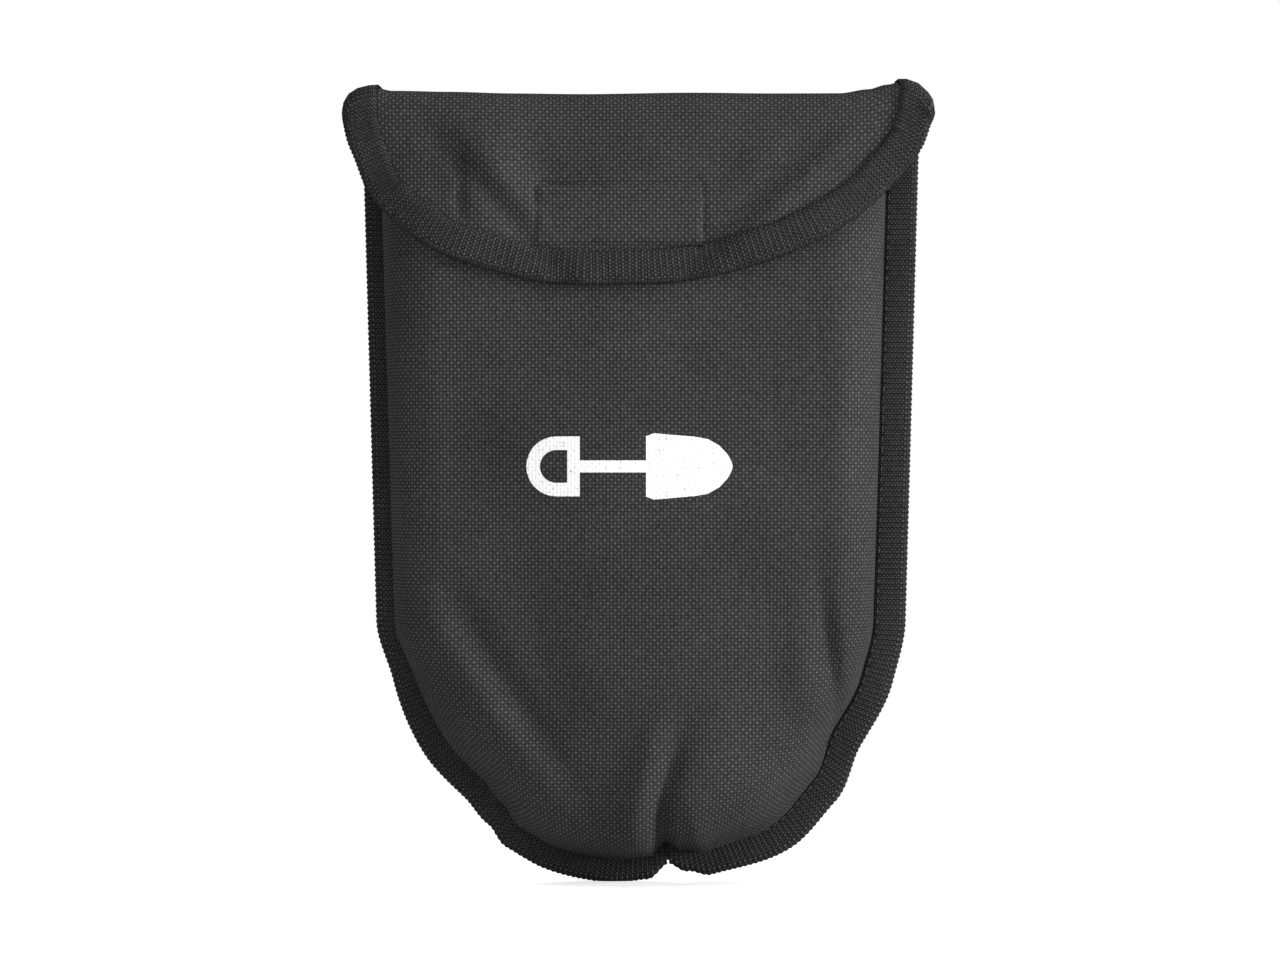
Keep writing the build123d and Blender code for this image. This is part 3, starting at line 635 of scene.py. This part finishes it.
def flap_front_place(u, v):
    """The flap's front part and the half of the strip that bends into it."""
    w, h = rows_split(v, FLAP_FOOT_ROWS)
    if h > 0:
        f = STRIP_MIDDLE * h
        x = u * (flap_half_width(f) - 0.5 * MM)
    else:
        a, b = square_to_disc(u, w)
        rho = math.hypot(a, b)
        angle = math.degrees(math.atan2(a, -b)) if rho > 1e-6 else 0.0
        rim = flap_rim(angle)
        x, f = rim.x * rho * 0.995, rim.y * rho * 0.992
    return flap_surface(x, f), (x, -f)


def flap_back_place(u, v):
    """The back half of the strip, down to the seam behind the mouth."""
    f = STRIP_MIDDLE + (STRIP_BACK - STRIP_MIDDLE) * (v + 1) / 2
    x = u * (flap_half_width(f) - 0.5 * MM)
    return flap_surface(x, f), (x, -f)


# ------------------------------------------------------------------ shader groups and materials
def group_sockets(name, inputs, outputs):
    """A shader group with its named sockets, and its two end nodes."""
    group = bpy.data.node_groups.new(name, "ShaderNodeTree")
    for label, kind, value in inputs:
        socket = group.interface.new_socket(label, in_out="INPUT", socket_type=kind)
        if value is not None:
            socket.default_value = value
    for label, kind in outputs:
        group.interface.new_socket(label, in_out="OUTPUT", socket_type=kind)
    return group, group.nodes.new("NodeGroupInput"), group.nodes.new("NodeGroupOutput")


def maths(tree, operation, *values):
    """A math node fed by sockets or numbers. It gives its output socket."""
    node = tree.nodes.new("ShaderNodeMath")
    node.operation = operation
    for socket, value in zip(node.inputs, values):
        if isinstance(value, (int, float)):
            socket.default_value = value
        else:
            tree.links.new(value, socket)
    return node.outputs[0]


def weave_group():
    """Plain weave on a flat cloth vector: the height of its threads."""
    if "Plain weave" in bpy.data.node_groups:
        return bpy.data.node_groups["Plain weave"]
    tree, inlet, outlet = group_sockets(
        "Plain weave",
        [
            ("Vector", "NodeSocketVector", None),
            ("Across", "NodeSocketFloat", 1.0),
            ("Down", "NodeSocketFloat", 1.0),
        ],
        [("Height", "NodeSocketFloat")],
    )
    parts = tree.nodes.new("ShaderNodeSeparateXYZ")
    tree.links.new(inlet.outputs["Vector"], parts.inputs[0])
    waves = []
    for axis, pitch in ((0, "Across"), (1, "Down")):
        turns = maths(tree, "DIVIDE", parts.outputs[axis], inlet.outputs[pitch])
        waves.append(maths(tree, "SINE", maths(tree, "MULTIPLY", turns, math.pi)))
    on_top = maths(tree, "GREATER_THAN", maths(tree, "MULTIPLY", waves[0], waves[1]), 0.0)
    bulge_x, bulge_y = (maths(tree, "POWER", maths(tree, "ABSOLUTE", wave), 0.8) for wave in waves)
    crown = maths(tree, "MULTIPLY", bulge_x, bulge_y)
    lower = maths(tree, "MULTIPLY", crown, 0.4)
    mix = tree.nodes.new("ShaderNodeMix")
    tree.links.new(on_top, mix.inputs[0])
    tree.links.new(lower, mix.inputs[2])
    tree.links.new(crown, mix.inputs[3])
    tree.links.new(mix.outputs[0], outlet.inputs["Height"])
    return tree


def mottle_group():
    """Slow and fine variation on object coordinates, for wear, lint and dust."""
    if "Mottle" in bpy.data.node_groups:
        return bpy.data.node_groups["Mottle"]
    tree, inlet, outlet = group_sockets(
        "Mottle",
        [("Coarse", "NodeSocketFloat", 40.0), ("Fine", "NodeSocketFloat", 600.0)],
        [("Slow", "NodeSocketFloat"), ("Grain", "NodeSocketFloat")],
    )
    place = tree.nodes.new("ShaderNodeTexCoord")
    for label, output in (("Coarse", "Slow"), ("Fine", "Grain")):
        cloud = tree.nodes.new("ShaderNodeTexNoise")
        cloud.inputs["Detail"].default_value = 3.0
        tree.links.new(place.outputs["Object"], cloud.inputs["Vector"])
        tree.links.new(inlet.outputs[label], cloud.inputs["Scale"])
        tree.links.new(cloud.outputs["Fac"], outlet.inputs[output])
    return tree


def start_material(name, colour, roughness, metallic=0.0):
    """A material with its shader, and the node tree to build on."""
    material = bpy.data.materials.new(name)
    material.use_nodes = True
    shader = material.node_tree.nodes["Principled BSDF"]
    shader.inputs["Base Color"].default_value = (*colour, 1)
    shader.inputs["Roughness"].default_value = roughness
    shader.inputs["Metallic"].default_value = metallic
    material.diffuse_color = (*colour, 1)
    return material, material.node_tree, shader


def add_group(tree, group, **values):
    """Places a shader group in a material, with its own values."""
    node = tree.nodes.new("ShaderNodeGroup")
    node.node_tree = group
    for label, value in values.items():
        node.inputs[label].default_value = value
    return node


def colour_ramp(tree, factor, low, high, start=0.0, end=1.0):
    """From one colour to another as a factor goes from start to end."""
    ramp = tree.nodes.new("ShaderNodeMapRange")
    ramp.data_type = "FLOAT_VECTOR"
    tree.links.new(factor, ramp.inputs["Vector"])
    ramp.inputs[7].default_value = (start,) * 3
    ramp.inputs[8].default_value = (end,) * 3
    ramp.inputs[9].default_value = low
    ramp.inputs[10].default_value = high
    return ramp.outputs["Vector"]


def bump_into(tree, shader, height, distance, strength=1.0):
    """Puts a height into a shader's normal as relief."""
    bump = tree.nodes.new("ShaderNodeBump")
    bump.inputs["Distance"].default_value = distance
    bump.inputs["Strength"].default_value = strength
    tree.links.new(height, bump.inputs["Height"])
    tree.links.new(bump.outputs["Normal"], shader.inputs["Normal"])


def woven(name, colour, across, down, depth, painted_relief_shade):
    """Woven cloth or tape on a flat UV: threads in relief, painted shade in the hollows and on the lower
    threads, a painted highlight on the crowns of the upper threads, and lint and fading.
    """
    if name in bpy.data.materials:
        return bpy.data.materials[name]
    material, tree, shader = start_material(name, colour, 0.8)
    shader.inputs["Specular IOR Level"].default_value = 0.0
    uv = tree.nodes.new("ShaderNodeUVMap")
    uv.uv_map = "Cloth"
    weave = add_group(tree, weave_group(), Across=across, Down=down)
    tree.links.new(uv.outputs[0], weave.inputs["Vector"])
    mottle = add_group(tree, mottle_group(), Coarse=35.0, Fine=900.0)
    # Painted shade and highlight: the colour follows the threads' height, dark in the weave's hollows and on
    # the lower threads, light on the crowns of the upper threads.
    dark = tuple(c * (1 - painted_relief_shade) for c in colour)
    light = tuple(min(c * (1 + painted_relief_shade), 1) for c in colour)
    thread = colour_ramp(tree, weave.outputs["Height"], dark, light, 0.0, 0.85)
    blend = tree.nodes.new("ShaderNodeMix")
    blend.data_type = "RGBA"
    blend.blend_type = "MULTIPLY"
    blend.inputs[0].default_value = 1.0
    tree.links.new(thread, blend.inputs[6])
    lint = maths(tree, "MULTIPLY_ADD", mottle.outputs["Grain"], 0.9, 0.28)
    fading = maths(tree, "MULTIPLY_ADD", mottle.outputs["Slow"], 0.5, 0.78)
    tree.links.new(maths(tree, "MULTIPLY", lint, fading), blend.inputs[7])
    tree.links.new(blend.outputs[2], shader.inputs["Base Color"])
    bump_into(tree, shader, weave.outputs["Height"], depth)
    return material


def cloth_material():
    """The pouch's coarse polyester."""
    pitch = sizes().weave_pitch
    return woven("woven_polyester", colours().cloth, pitch, pitch * 0.94, 0.12 * MM, 0.62)


def tape_material():
    """The binding, with its ribs across."""
    pitch = sizes().rib_pitch
    return woven("binding_tape", colours().tape, pitch / 2, 0.6 * MM, 0.12 * MM, 0.85)


def webbing_material():
    """The belt loop's webbing, a little paler than the binding."""
    pitch = sizes().rib_pitch
    paler = tuple(1.5 * c for c in colours().tape)
    return woven("webbing", paler, 0.45 * pitch, 0.9 * pitch, 0.15 * MM, 0.75)


def thread_material():
    """Twisted black sewing thread."""
    if "sewing_thread" in bpy.data.materials:
        return bpy.data.materials["sewing_thread"]
    material, tree, shader = start_material("sewing_thread", colours().thread, 0.55)
    shader.inputs["Sheen Weight"].default_value = 0.3
    place = tree.nodes.new("ShaderNodeTexCoord")
    twist = tree.nodes.new("ShaderNodeTexWave")
    twist.inputs["Scale"].default_value = 900.0
    twist.bands_direction = "DIAGONAL"
    tree.links.new(place.outputs["Object"], twist.inputs["Vector"])
    bump_into(tree, shader, twist.outputs["Fac"], 0.08 * MM)
    return material


def ink_material():
    """Screen print that sits on the tops of the threads and misses some of the hollows."""
    if "screen_print" in bpy.data.materials:
        return bpy.data.materials["screen_print"]
    material, tree, shader = start_material("screen_print", colours().ink, 0.6)
    uv = tree.nodes.new("ShaderNodeUVMap")
    uv.uv_map = "Cloth"
    weave = add_group(tree, weave_group(), Across=sizes().weave_pitch, Down=sizes().weave_pitch)
    tree.links.new(uv.outputs[0], weave.inputs["Vector"])
    mottle = add_group(tree, mottle_group(), Coarse=160.0, Fine=700.0)
    missed = maths(tree, "ADD", weave.outputs["Height"], mottle.outputs["Grain"])
    ink = colours().ink
    shade = colour_ramp(tree, missed, tuple(c * 0.3 for c in ink), tuple(ink), 0.36, 0.5)
    tree.links.new(shade, shader.inputs["Base Color"])
    bump_into(tree, shader, weave.outputs["Height"], 0.12 * MM)
    return material


def pile_material(name, scale, depth):
    """Hook or loop tape: short stiff hooks, or a tangle of loops."""
    if name in bpy.data.materials:
        return bpy.data.materials[name]
    material, tree, shader = start_material(name, (0.02, 0.02, 0.021), 0.9)
    shader.inputs["Sheen Weight"].default_value = 0.4
    place = tree.nodes.new("ShaderNodeTexCoord")
    cells = tree.nodes.new("ShaderNodeTexVoronoi")
    cells.inputs["Scale"].default_value = scale
    tree.links.new(place.outputs["Object"], cells.inputs["Vector"])
    # Painted shade: the pile is darker down between the hooks and loops and lighter on their tops, following
    # the same cells as the relief.
    shade = colour_ramp(tree, cells.outputs["Distance"], (0.05,) * 3, (0.008,) * 3, 0.0, 0.6)
    tree.links.new(shade, shader.inputs["Base Color"])
    height = maths(tree, "SUBTRACT", 1.0, cells.outputs["Distance"])
    bump_into(tree, shader, height, depth)
    return material


def metal_material(name, colour, roughness, metallic, wear):
    """Metal or plastic with a fine grain, and a tone and gloss that vary with wear."""
    if name in bpy.data.materials:
        return bpy.data.materials[name]
    material, tree, shader = start_material(name, colour, roughness, metallic)
    mottle = add_group(tree, mottle_group(), Coarse=60.0, Fine=1500.0)
    dark = tuple(c * 0.8 for c in colour)
    light = tuple(min(c * (1 + wear), 1) for c in colour)
    tone = colour_ramp(tree, mottle.outputs["Slow"], dark, light, 0.3, 0.75)
    tree.links.new(tone, shader.inputs["Base Color"])
    gloss = tree.nodes.new("ShaderNodeMapRange")
    tree.links.new(mottle.outputs["Slow"], gloss.inputs[0])
    gloss.inputs[3].default_value = roughness * 0.75
    gloss.inputs[4].default_value = min(roughness * 1.3, 1)
    tree.links.new(gloss.outputs[0], shader.inputs["Roughness"])
    bump_into(tree, shader, mottle.outputs["Grain"], 0.05 * MM, 0.5)
    return material


# ------------------------------------------------------------------ pieces
class Path:
    """A tape's edge: place(t) over its length, with the number of faces along it."""

    def __init__(self, place, segments):
        self.place, self.segments = place, segments

    def __call__(self, t):
        return self.place(t)


def edge_path(start, end):
    """The pouch's outline between two lengths, with a flat point in X and Z."""

    def place(t):
        length = start + (end - start) * t
        point, inward = outline_point(length)
        return (point.x, point.z), (inward.x, inward.z), length

    return Path(place, int((end - start) / (sizes().rib_pitch / 4)))


class POUCH_OT_front(Operator):
    """Builds the stuffed front panel with its dart, dents and open mouth"""

    bl_idname = "pouch.front"
    bl_label = "Front panel"

    def execute(self, context):
        obj = shaped_grid("front_cloth", sizes().columns, sizes().rows, front_place)
        thicken(obj, sizes().cloth_thick)
        dress(obj, cloth_material(), "pouch")
        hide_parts("front_panel")
        return {"FINISHED"}


class POUCH_OT_back(Operator):
    """Builds the flat back panel"""

    bl_idname = "pouch.back"
    bl_label = "Back panel"

    def execute(self, context):
        obj = shaped_grid("back_cloth", *BACK_GRID, back_place)
        thicken(obj, sizes().cloth_thick)
        dress(obj, cloth_material(), "pouch")
        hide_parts("back_panel")
        return {"FINISHED"}


class POUCH_OT_bindings(Operator):
    """Binds the pouch's edge with tape in two runs that meet at the notch, and stitches it"""

    bl_idname = "pouch.bindings"
    bl_label = "Edge bindings"

    def execute(self, context):
        runs = (("left", 0.0, NOTCH_LENGTH - NOTCH_GAP), ("right", NOTCH_LENGTH + NOTCH_GAP, OUTLINE_LENGTH))
        reach = sizes().tape_width - 1.6 * MM
        lift = CLOTH + sizes().tape_thick + 0.1 * MM
        for side, start, end in runs:
            path = edge_path(start, end)
            tape = tape_on(f"edge_tape_{side}", path, flange, CLOTH + 0.1 * MM, sizes().tape_width, "pouch")
            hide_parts(f"edge_binding_{side}")
            seam = seam_line(path, reach, int((end - start) / (1.2 * MM)))
            for face, offset in (("front", lift), ("back", -lift)):
                thread = stitches_on(f"edge_stitches_{side}_{face}", [seam], flange, offset, "pouch")
        return {"FINISHED"}


def seam_line(path, reach, steps):
    """A seam beside a tape's edge, as points at an even spacing."""
    points = []
    for index in range(steps + 1):
        point, inward, _ = path(index / steps)
        points.append((point[0] + inward[0] * reach, point[1] + inward[1] * reach))
    return points


class POUCH_OT_flap(Operator):
    """Builds the flap in two sheets that bend at its folds, with their binding and stitching"""

    bl_idname = "pouch.flap"
    bl_label = "Flap"

    def execute(self, context):
        cloth = cloth_material()
        front = shaped_grid("flap_cloth_front", *FLAP_GRID, flap_front_place)
        thicken(front, sizes().cloth_thick)
        dress(front, cloth)
        back = shaped_grid("flap_cloth_back", *STRIP_GRID, flap_back_place)
        thicken(back, sizes().cloth_thick)
        dress(back, cloth)
        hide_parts("flap_front_panel")
        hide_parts("flap_top_panel")
        half, width = CLOTH / 2 + 0.05 * MM, sizes().tape_width
        rim = Path(rim_place, int((RIM_LENGTH - 2 * STRIP_MIDDLE) / (sizes().rib_pitch / 4)))
        pieces = [(tape_on("flap_tape_front", rim, flap_surface, half, width), True)]
        for side, label in ((-1, "left"), (1, "right")):
            pieces.append((tape_on(f"flap_tape_{label}", strip_path(side), flap_surface, half, width), False))
        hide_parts("flap_front_binding")
        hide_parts("flap_top_binding")
        line = seam_line(rim, width - 1.5 * MM, 300)
        seam = stitches_on("flap_stitches", [line], flap_surface, half + sizes().tape_thick)
        patch = stitches_on("patch_stitches", [patch_line()], flap_surface, CLOTH / 2)
        pieces += [(seam, True), (patch, True)]
        for obj, is_front in [(front, True), (back, False)] + pieces:
            if is_front:
                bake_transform(obj)
            else:
                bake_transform(obj)
        return {"FINISHED"}


def rim_place(t):
    """The flap's edge from the middle of the strip on the left, round the front, to the same on the right."""
    strip = -STRIP_MIDDLE
    whole = RIM_LENGTH + 2 * strip
    length = whole * t
    if length < strip:
        f = STRIP_MIDDLE + length
        return (-flap_half_width(f), f), (1, 0), length
    if length > whole - strip:
        f = STRIP_MIDDLE + whole - length
        return (flap_half_width(f), f), (-1, 0), length
    angle = -90 + 180 * (length - strip) / RIM_LENGTH
    point = flap_rim(angle)
    run = (flap_rim(min(angle + 1, 90)) - flap_rim(max(angle - 1, -90))).normalized()
    inward = Vector((run.y, -run.x))
    return point, inward if inward.dot(point) < 0 else -inward, length


def strip_path(side):
    """The strip's edge on one side, from its middle back to the pouch."""

    def place(t):
        length = (STRIP_BACK - STRIP_MIDDLE) * t
        f = STRIP_MIDDLE + length
        return (side * flap_half_width(f), f), (-side, 0), abs(length)

    return Path(place, STRIP_FACES)


def patch_line():
    """The rectangle that sews the hooks to the flap, down to its binding."""
    left, right = HOOKS_LOW.x - PATCH_SEAM, HOOKS_HIGH.x + PATCH_SEAM
    top, low = FOLD_Z - HOOKS_HIGH.z - PATCH_SEAM, FOLD_Z - HOOKS_LOW.z
    corners = [(left, low), (left, top), (right, top), (right, low)]
    points = []
    for (x0, f0), (x1, f1) in zip(corners, corners[1:]):
        points += [(x0 + (x1 - x0) * i / 20, f0 + (f1 - f0) * i / 20) for i in range(20)]
    return points + [corners[-1]]


class POUCH_OT_mouth(Operator):
    """Binds the open mouth under the flap"""

    bl_idname = "pouch.mouth"
    bl_label = "Mouth binding"

    def execute(self, context):
        def mouth(p, q):
            """The front panel near its mouth: p runs across it, and q is the length below its top edge."""
            spot, _ = front_place(min(max(p, -MOUTH_REACH), MOUTH_REACH) / MOUTH_SCALE, 1.0)
            return Vector((spot.x, spot.y, spot.z - q))

        def place(t):
            return (MOUTH_REACH * (2 * t - 1), 0.0), (0, 1), MOUTH_RUN * t

        tape = tape_on("mouth_tape", Path(place, MOUTH_FACES), mouth, CLOTH / 2, MOUTH_TAPE, "pouch")
        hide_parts("mouth_binding")
        return {"FINISHED"}


class POUCH_OT_mark(Operator):
    """Prints a plain shovel pictogram on the front"""

    bl_idname = "pouch.mark"
    bl_label = "Printed mark"

    def execute(self, context):
        cloth = bpy.data.objects["front_cloth"].data
        tree = BVHTree.FromPolygons([v.co for v in cloth.vertices], [p.vertices[:] for p in cloth.polygons])
        centre = Vector(MARK_CENTRE) * MM
        bm = bmesh.new()
        for outline in mark_outlines():
            verts = [bm.verts.new((x * MM, 0, z * MM)) for x, z in outline]
            bm.faces.new(verts)
        bmesh.ops.triangulate(bm, faces=bm.faces[:])
        for axis, reach in ((0, MARK_HALF), (2, MARK_HIGH)):
            for step in range(-reach, reach + 1):
                cut, normal = Vector((0, 0, 0)), Vector((0, 0, 0))
                cut[axis], normal[axis] = step * MM, 1
                geometry = bm.verts[:] + bm.edges[:] + bm.faces[:]
                bmesh.ops.bisect_plane(bm, geom=geometry, plane_co=cut, plane_no=normal)
        bmesh.ops.remove_doubles(bm, verts=bm.verts[:], dist=1e-6)
        layer = bm.loops.layers.uv.new("Cloth")
        for vert in bm.verts:
            vert.co += centre
            hit, _, _, _ = tree.ray_cast(Vector((vert.co.x, -0.2, vert.co.z)), Vector((0, 1, 0)))
            vert.co.y = hit.y - 0.06 * MM
        for face in bm.faces:
            for loop in face.loops:
                loop[layer].uv = (loop.vert.co.x, loop.vert.co.z)
        bmesh.ops.recalc_face_normals(bm, faces=bm.faces[:])
        if sum(face.normal.y for face in bm.faces) > 0:
            bmesh.ops.reverse_faces(bm, faces=bm.faces[:])
        obj = new_object("printed_mark", bm)
        dress(obj, ink_material(), "pouch")
        return {"FINISHED"}


def mark_outlines():
    """A lying shovel in millimetres: D grip, shaft and pointed blade."""
    rim, hole = (
        [(MARK_GRIP_X, r), *arc_points(MARK_RING_X, r), (MARK_GRIP_X, -r)] for r in (MARK_RING_R, MARK_HOLE_R)
    )
    ring = [[rim[i], rim[i + 1], hole[i + 1], hole[i]] for i in range(len(rim) - 1)]
    bar = box_points(MARK_GRIP_X, MARK_BAR_X, MARK_RING_R)
    shaft = box_points(MARK_BAR_X, MARK_NECK_X, MARK_SHAFT)
    side = [(MARK_NECK_X, 9.6), (7.0, 10.5), (20.0, 9.4)]
    side += [(20.0 + 12.0 * math.sin(a), 9.4 * math.cos(a) ** 1.3) for a in (0.35, 0.7, 1.05, 1.35)]
    blade = [(x, -z) for x, z in side] + [(MARK_END_X, 0.0)] + side[::-1]
    return [*ring, bar, shaft, blade]


def arc_points(x, radius, count=16):
    """The left half of a circle, from its top to its foot."""
    turns = [math.radians(90 + 180 * i / count) for i in range(count + 1)]
    return [(x + radius * math.cos(t), radius * math.sin(t)) for t in turns]


def box_points(left, right, half):
    """The corners of an upright rectangle about the middle line."""
    return [(left, -half), (right, -half), (right, half), (left, half)]


class POUCH_OT_belt_loop(Operator):
    """Weaves the belt loop and sews its ends with boxes and crosses"""

    bl_idname = "pouch.belt_loop"
    bl_label = "Belt loop"

    def execute(self, context):
        flat_y, out_y = STRAP_LOW.y + 0.8 * MM, STRAP_HIGH.y - 0.8 * MM
        end = STRAP_HIGH.z

        def strap(x, z):
            stand = eased((end - STRAP_TAIL - abs(z)) / STRAP_RAMP)
            return Vector((x, flat_y + (out_y - flat_y) * stand, z))

        def place(u, v):
            x, z = u * STRAP_HIGH.x, v * end
            fray = 0.15 * MM * wander(x, z, 3 * MM, 21.0) * eased(abs(u) * 8 - 7)
            spot = strap(x + fray, z)
            spot.y += STRAP_RIB * math.cos(2 * math.pi * x / STRAP_RIB_PITCH)
            return spot, (x, z)

        obj = shaped_grid("belt_loop_webbing", *STRAP_GRID, place)
        thicken(obj, STRAP_THICK, 0.35 * MM)
        dress(obj, webbing_material(), "pouch")
        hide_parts("belt_loop")
        lines = []
        for side in (-1, 1):
            x = STRAP_HIGH.x - STRAP_SEAM_IN
            near, far = side * (end - STRAP_TAIL + 2.5 * MM), side * (end - 3 * MM)
            corners = (-x, near), (x, near), (-x, far), (x, far)
            for first, last in ((0, 1), (2, 3), (0, 2), (1, 3), (0, 3), (2, 1)):
                lines.append([corners[first], corners[last]])
        thread = stitches_on("belt_loop_threads", lines, strap, -(STRAP_THICK / 2), "pouch")
        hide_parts("belt_loop_stitching")
        return {"FINISHED"}


class POUCH_OT_shovel(Operator):
    """Finishes the shovel's own pieces and the two closing patches"""

    bl_idname = "pouch.shovel"
    bl_label = "Shovel and patches"

    def execute(self, context):
        paint = tuple(colours().paint)
        black = metal_material("powder_coat", paint, 0.55, 0.0, 0.6)
        bright = metal_material("zinc_plate", (0.55, 0.55, 0.57), 0.32, 1.0, 0.2)
        alloy = metal_material("cast_alloy", (0.42, 0.42, 0.44), 0.5, 1.0, 0.2)
        tube = metal_material("anodised_tube", (0.08, 0.08, 0.085), 0.38, 0.9, 0.3)
        moulded = metal_material("moulded_nylon", (0.018, 0.018, 0.019), 0.6, 0.0, 0.3)
        finish = {
            "blade": black,
            "blade_bracket": black,
            "handle_frame": black,
            "handle_yoke": black,
            "blade_rivets": bright,
            "blade_pivot_pin": bright,
            "handle_pivot_pin": bright,
            "threaded_ferrule": bright,
            "collar_washer": bright,
            "shaft_top_lug": alloy,
            "shaft_end_lug": alloy,
            "shaft_tube": tube,
            "lock_collar": moulded,
            "handle_grip": moulded,
            "hook_patch": pile_material("hook_tape", 1500.0, 0.35 * MM),
            "loop_patch": pile_material("loop_tape", 900.0, 0.5 * MM),
        }
        for name, material in finish.items():
            node = FRAME["nodes"][name]
            node.data.materials.clear()
            node.data.materials.append(material)
        return {"FINISHED"}


class POUCH_OT_stage(Operator):
    """Sets up the floor, the backdrop, the lamps and the camera"""

    bl_idname = "pouch.stage"
    bl_label = "Stage"

    def execute(self, context):
        scene = context.scene
        scene.view_settings.view_transform = "Standard"
        set_world(scene)
        bm = bmesh.new()
        bmesh.ops.create_grid(bm, x_segments=1, y_segments=1, size=FLOOR_SIZE)
        bmesh.ops.translate(bm, verts=bm.verts[:], vec=(0, 0, FLOOR_Z))
        floor = new_object("floor", bm)
        floor.data.materials.append(floor_material())
        for name, place, size, power in LAMPS:
            lamp(name, place, size, power)
        camera = bpy.data.cameras.new("camera")
        camera.sensor_width = SENSOR
        camera.lens = LENS
        eye = bpy.data.objects.new("camera", camera)
        eye.location = EYE
        eye.rotation_euler = (math.pi / 2, 0, 0)
        scene.collection.objects.link(eye)
        scene.camera = eye
        return {"FINISHED"}


def lamp(name, place, size, power):
    """A square lamp that faces the pouch."""
    data = bpy.data.lights.new(name, "AREA")
    data.size = size
    data.energy = power
    obj = bpy.data.objects.new(name, data)
    obj.location = place
    obj.rotation_euler = (Vector(LAMP_AIM) - Vector(place)).to_track_quat("-Z", "Y").to_euler()
    bpy.context.scene.collection.objects.link(obj)


def seen_rays(tree):
    """1 for what the camera sees, straight, in a reflection or through glass."""
    path = tree.nodes.new("ShaderNodeLightPath")
    direct = maths(tree, "MAXIMUM", path.outputs["Is Camera Ray"], path.outputs["Is Glossy Ray"])
    return maths(tree, "MAXIMUM", direct, path.outputs["Is Transmission Ray"])


def set_world(scene):
    """White where it is seen, and a soft grey light otherwise."""
    world = scene.world or bpy.data.worlds.new("world")
    scene.world = world
    world.use_nodes = True
    tree = world.node_tree
    tree.nodes.clear()
    seen = seen_rays(tree)
    strength = maths(tree, "MULTIPLY_ADD", seen, 1 - WORLD_LIGHT, WORLD_LIGHT)
    sky = tree.nodes.new("ShaderNodeBackground")
    sky.inputs["Color"].default_value = (1, 1, 1, 1)
    tree.links.new(strength, sky.inputs["Strength"])
    out = tree.nodes.new("ShaderNodeOutputWorld")
    tree.links.new(sky.outputs[0], out.inputs["Surface"])


def floor_material():
    """Pale floor that keeps a shadow near the object and turns white away from it."""
    material = bpy.data.materials.new("pale_floor")
    material.use_nodes = True
    tree = material.node_tree
    tree.nodes.clear()
    matt = tree.nodes.new("ShaderNodeBsdfDiffuse")
    matt.inputs["Color"].default_value = (*FLOOR_COLOUR, 1)
    lift = tree.nodes.new("ShaderNodeEmission")
    white = tree.nodes.new("ShaderNodeEmission")
    seen = seen_rays(tree)
    tree.links.new(maths(tree, "MULTIPLY", seen, FLOOR_LIFT), lift.inputs["Strength"])
    near = tree.nodes.new("ShaderNodeAddShader")
    tree.links.new(matt.outputs[0], near.inputs[0])
    tree.links.new(lift.outputs[0], near.inputs[1])
    place = tree.nodes.new("ShaderNodeTexCoord")
    reach = tree.nodes.new("ShaderNodeVectorMath")
    reach.operation = "LENGTH"
    tree.links.new(place.outputs["Object"], reach.inputs[0])
    fade = tree.nodes.new("ShaderNodeMapRange")
    fade.interpolation_type = "SMOOTHSTEP"
    tree.links.new(reach.outputs["Value"], fade.inputs[0])
    fade.inputs[1].default_value, fade.inputs[2].default_value = FLOOR_FADE
    blend = tree.nodes.new("ShaderNodeMixShader")
    tree.links.new(maths(tree, "MULTIPLY", fade.outputs[0], seen), blend.inputs[0])
    tree.links.new(near.outputs[0], blend.inputs[1])
    tree.links.new(white.outputs[0], blend.inputs[2])
    out = tree.nodes.new("ShaderNodeOutputMaterial")
    tree.links.new(blend.outputs[0], out.inputs["Surface"])
    return material


class POUCH_PT_panel(Panel):
    """Lists the pieces and their settings"""

    bl_idname = "POUCH_PT_panel"
    bl_label = "Pouch"
    bl_space_type = "VIEW_3D"
    bl_region_type = "UI"
    bl_category = "Pouch"

    def draw(self, context):
        layout = self.layout
        for group in (context.scene.pouch_sizes, context.scene.pouch_colours):
            box = layout.box()
            for name in group.__annotations__:
                box.prop(group, name)
        for operator in OPERATORS:
            layout.operator(operator.bl_idname)


OPERATORS = (
    POUCH_OT_stage,
    POUCH_OT_front,
    POUCH_OT_back,
    POUCH_OT_bindings,
    POUCH_OT_mouth,
    POUCH_OT_flap,
    POUCH_OT_mark,
    POUCH_OT_belt_loop,
    POUCH_OT_shovel,
)
CLASSES = (PouchSizes, PouchColours, *OPERATORS, POUCH_PT_panel)


def register():
    """Adds the classes, and their settings to the scene."""
    for cls in CLASSES:
        bpy.utils.register_class(cls)
    bpy.types.Scene.pouch_sizes = PointerProperty(type=PouchSizes)
    bpy.types.Scene.pouch_colours = PointerProperty(type=PouchColours)


def unregister():
    """Takes away what register adds."""
    del bpy.types.Scene.pouch_colours
    del bpy.types.Scene.pouch_sizes
    for cls in reversed(CLASSES):
        bpy.utils.unregister_class(cls)


def main():
    """Builds everything."""
    register()
    for operator in OPERATORS:
        area, name = operator.bl_idname.split(".")
        getattr(getattr(bpy.ops, area), name)()


if __name__ == "__main__":
    main()
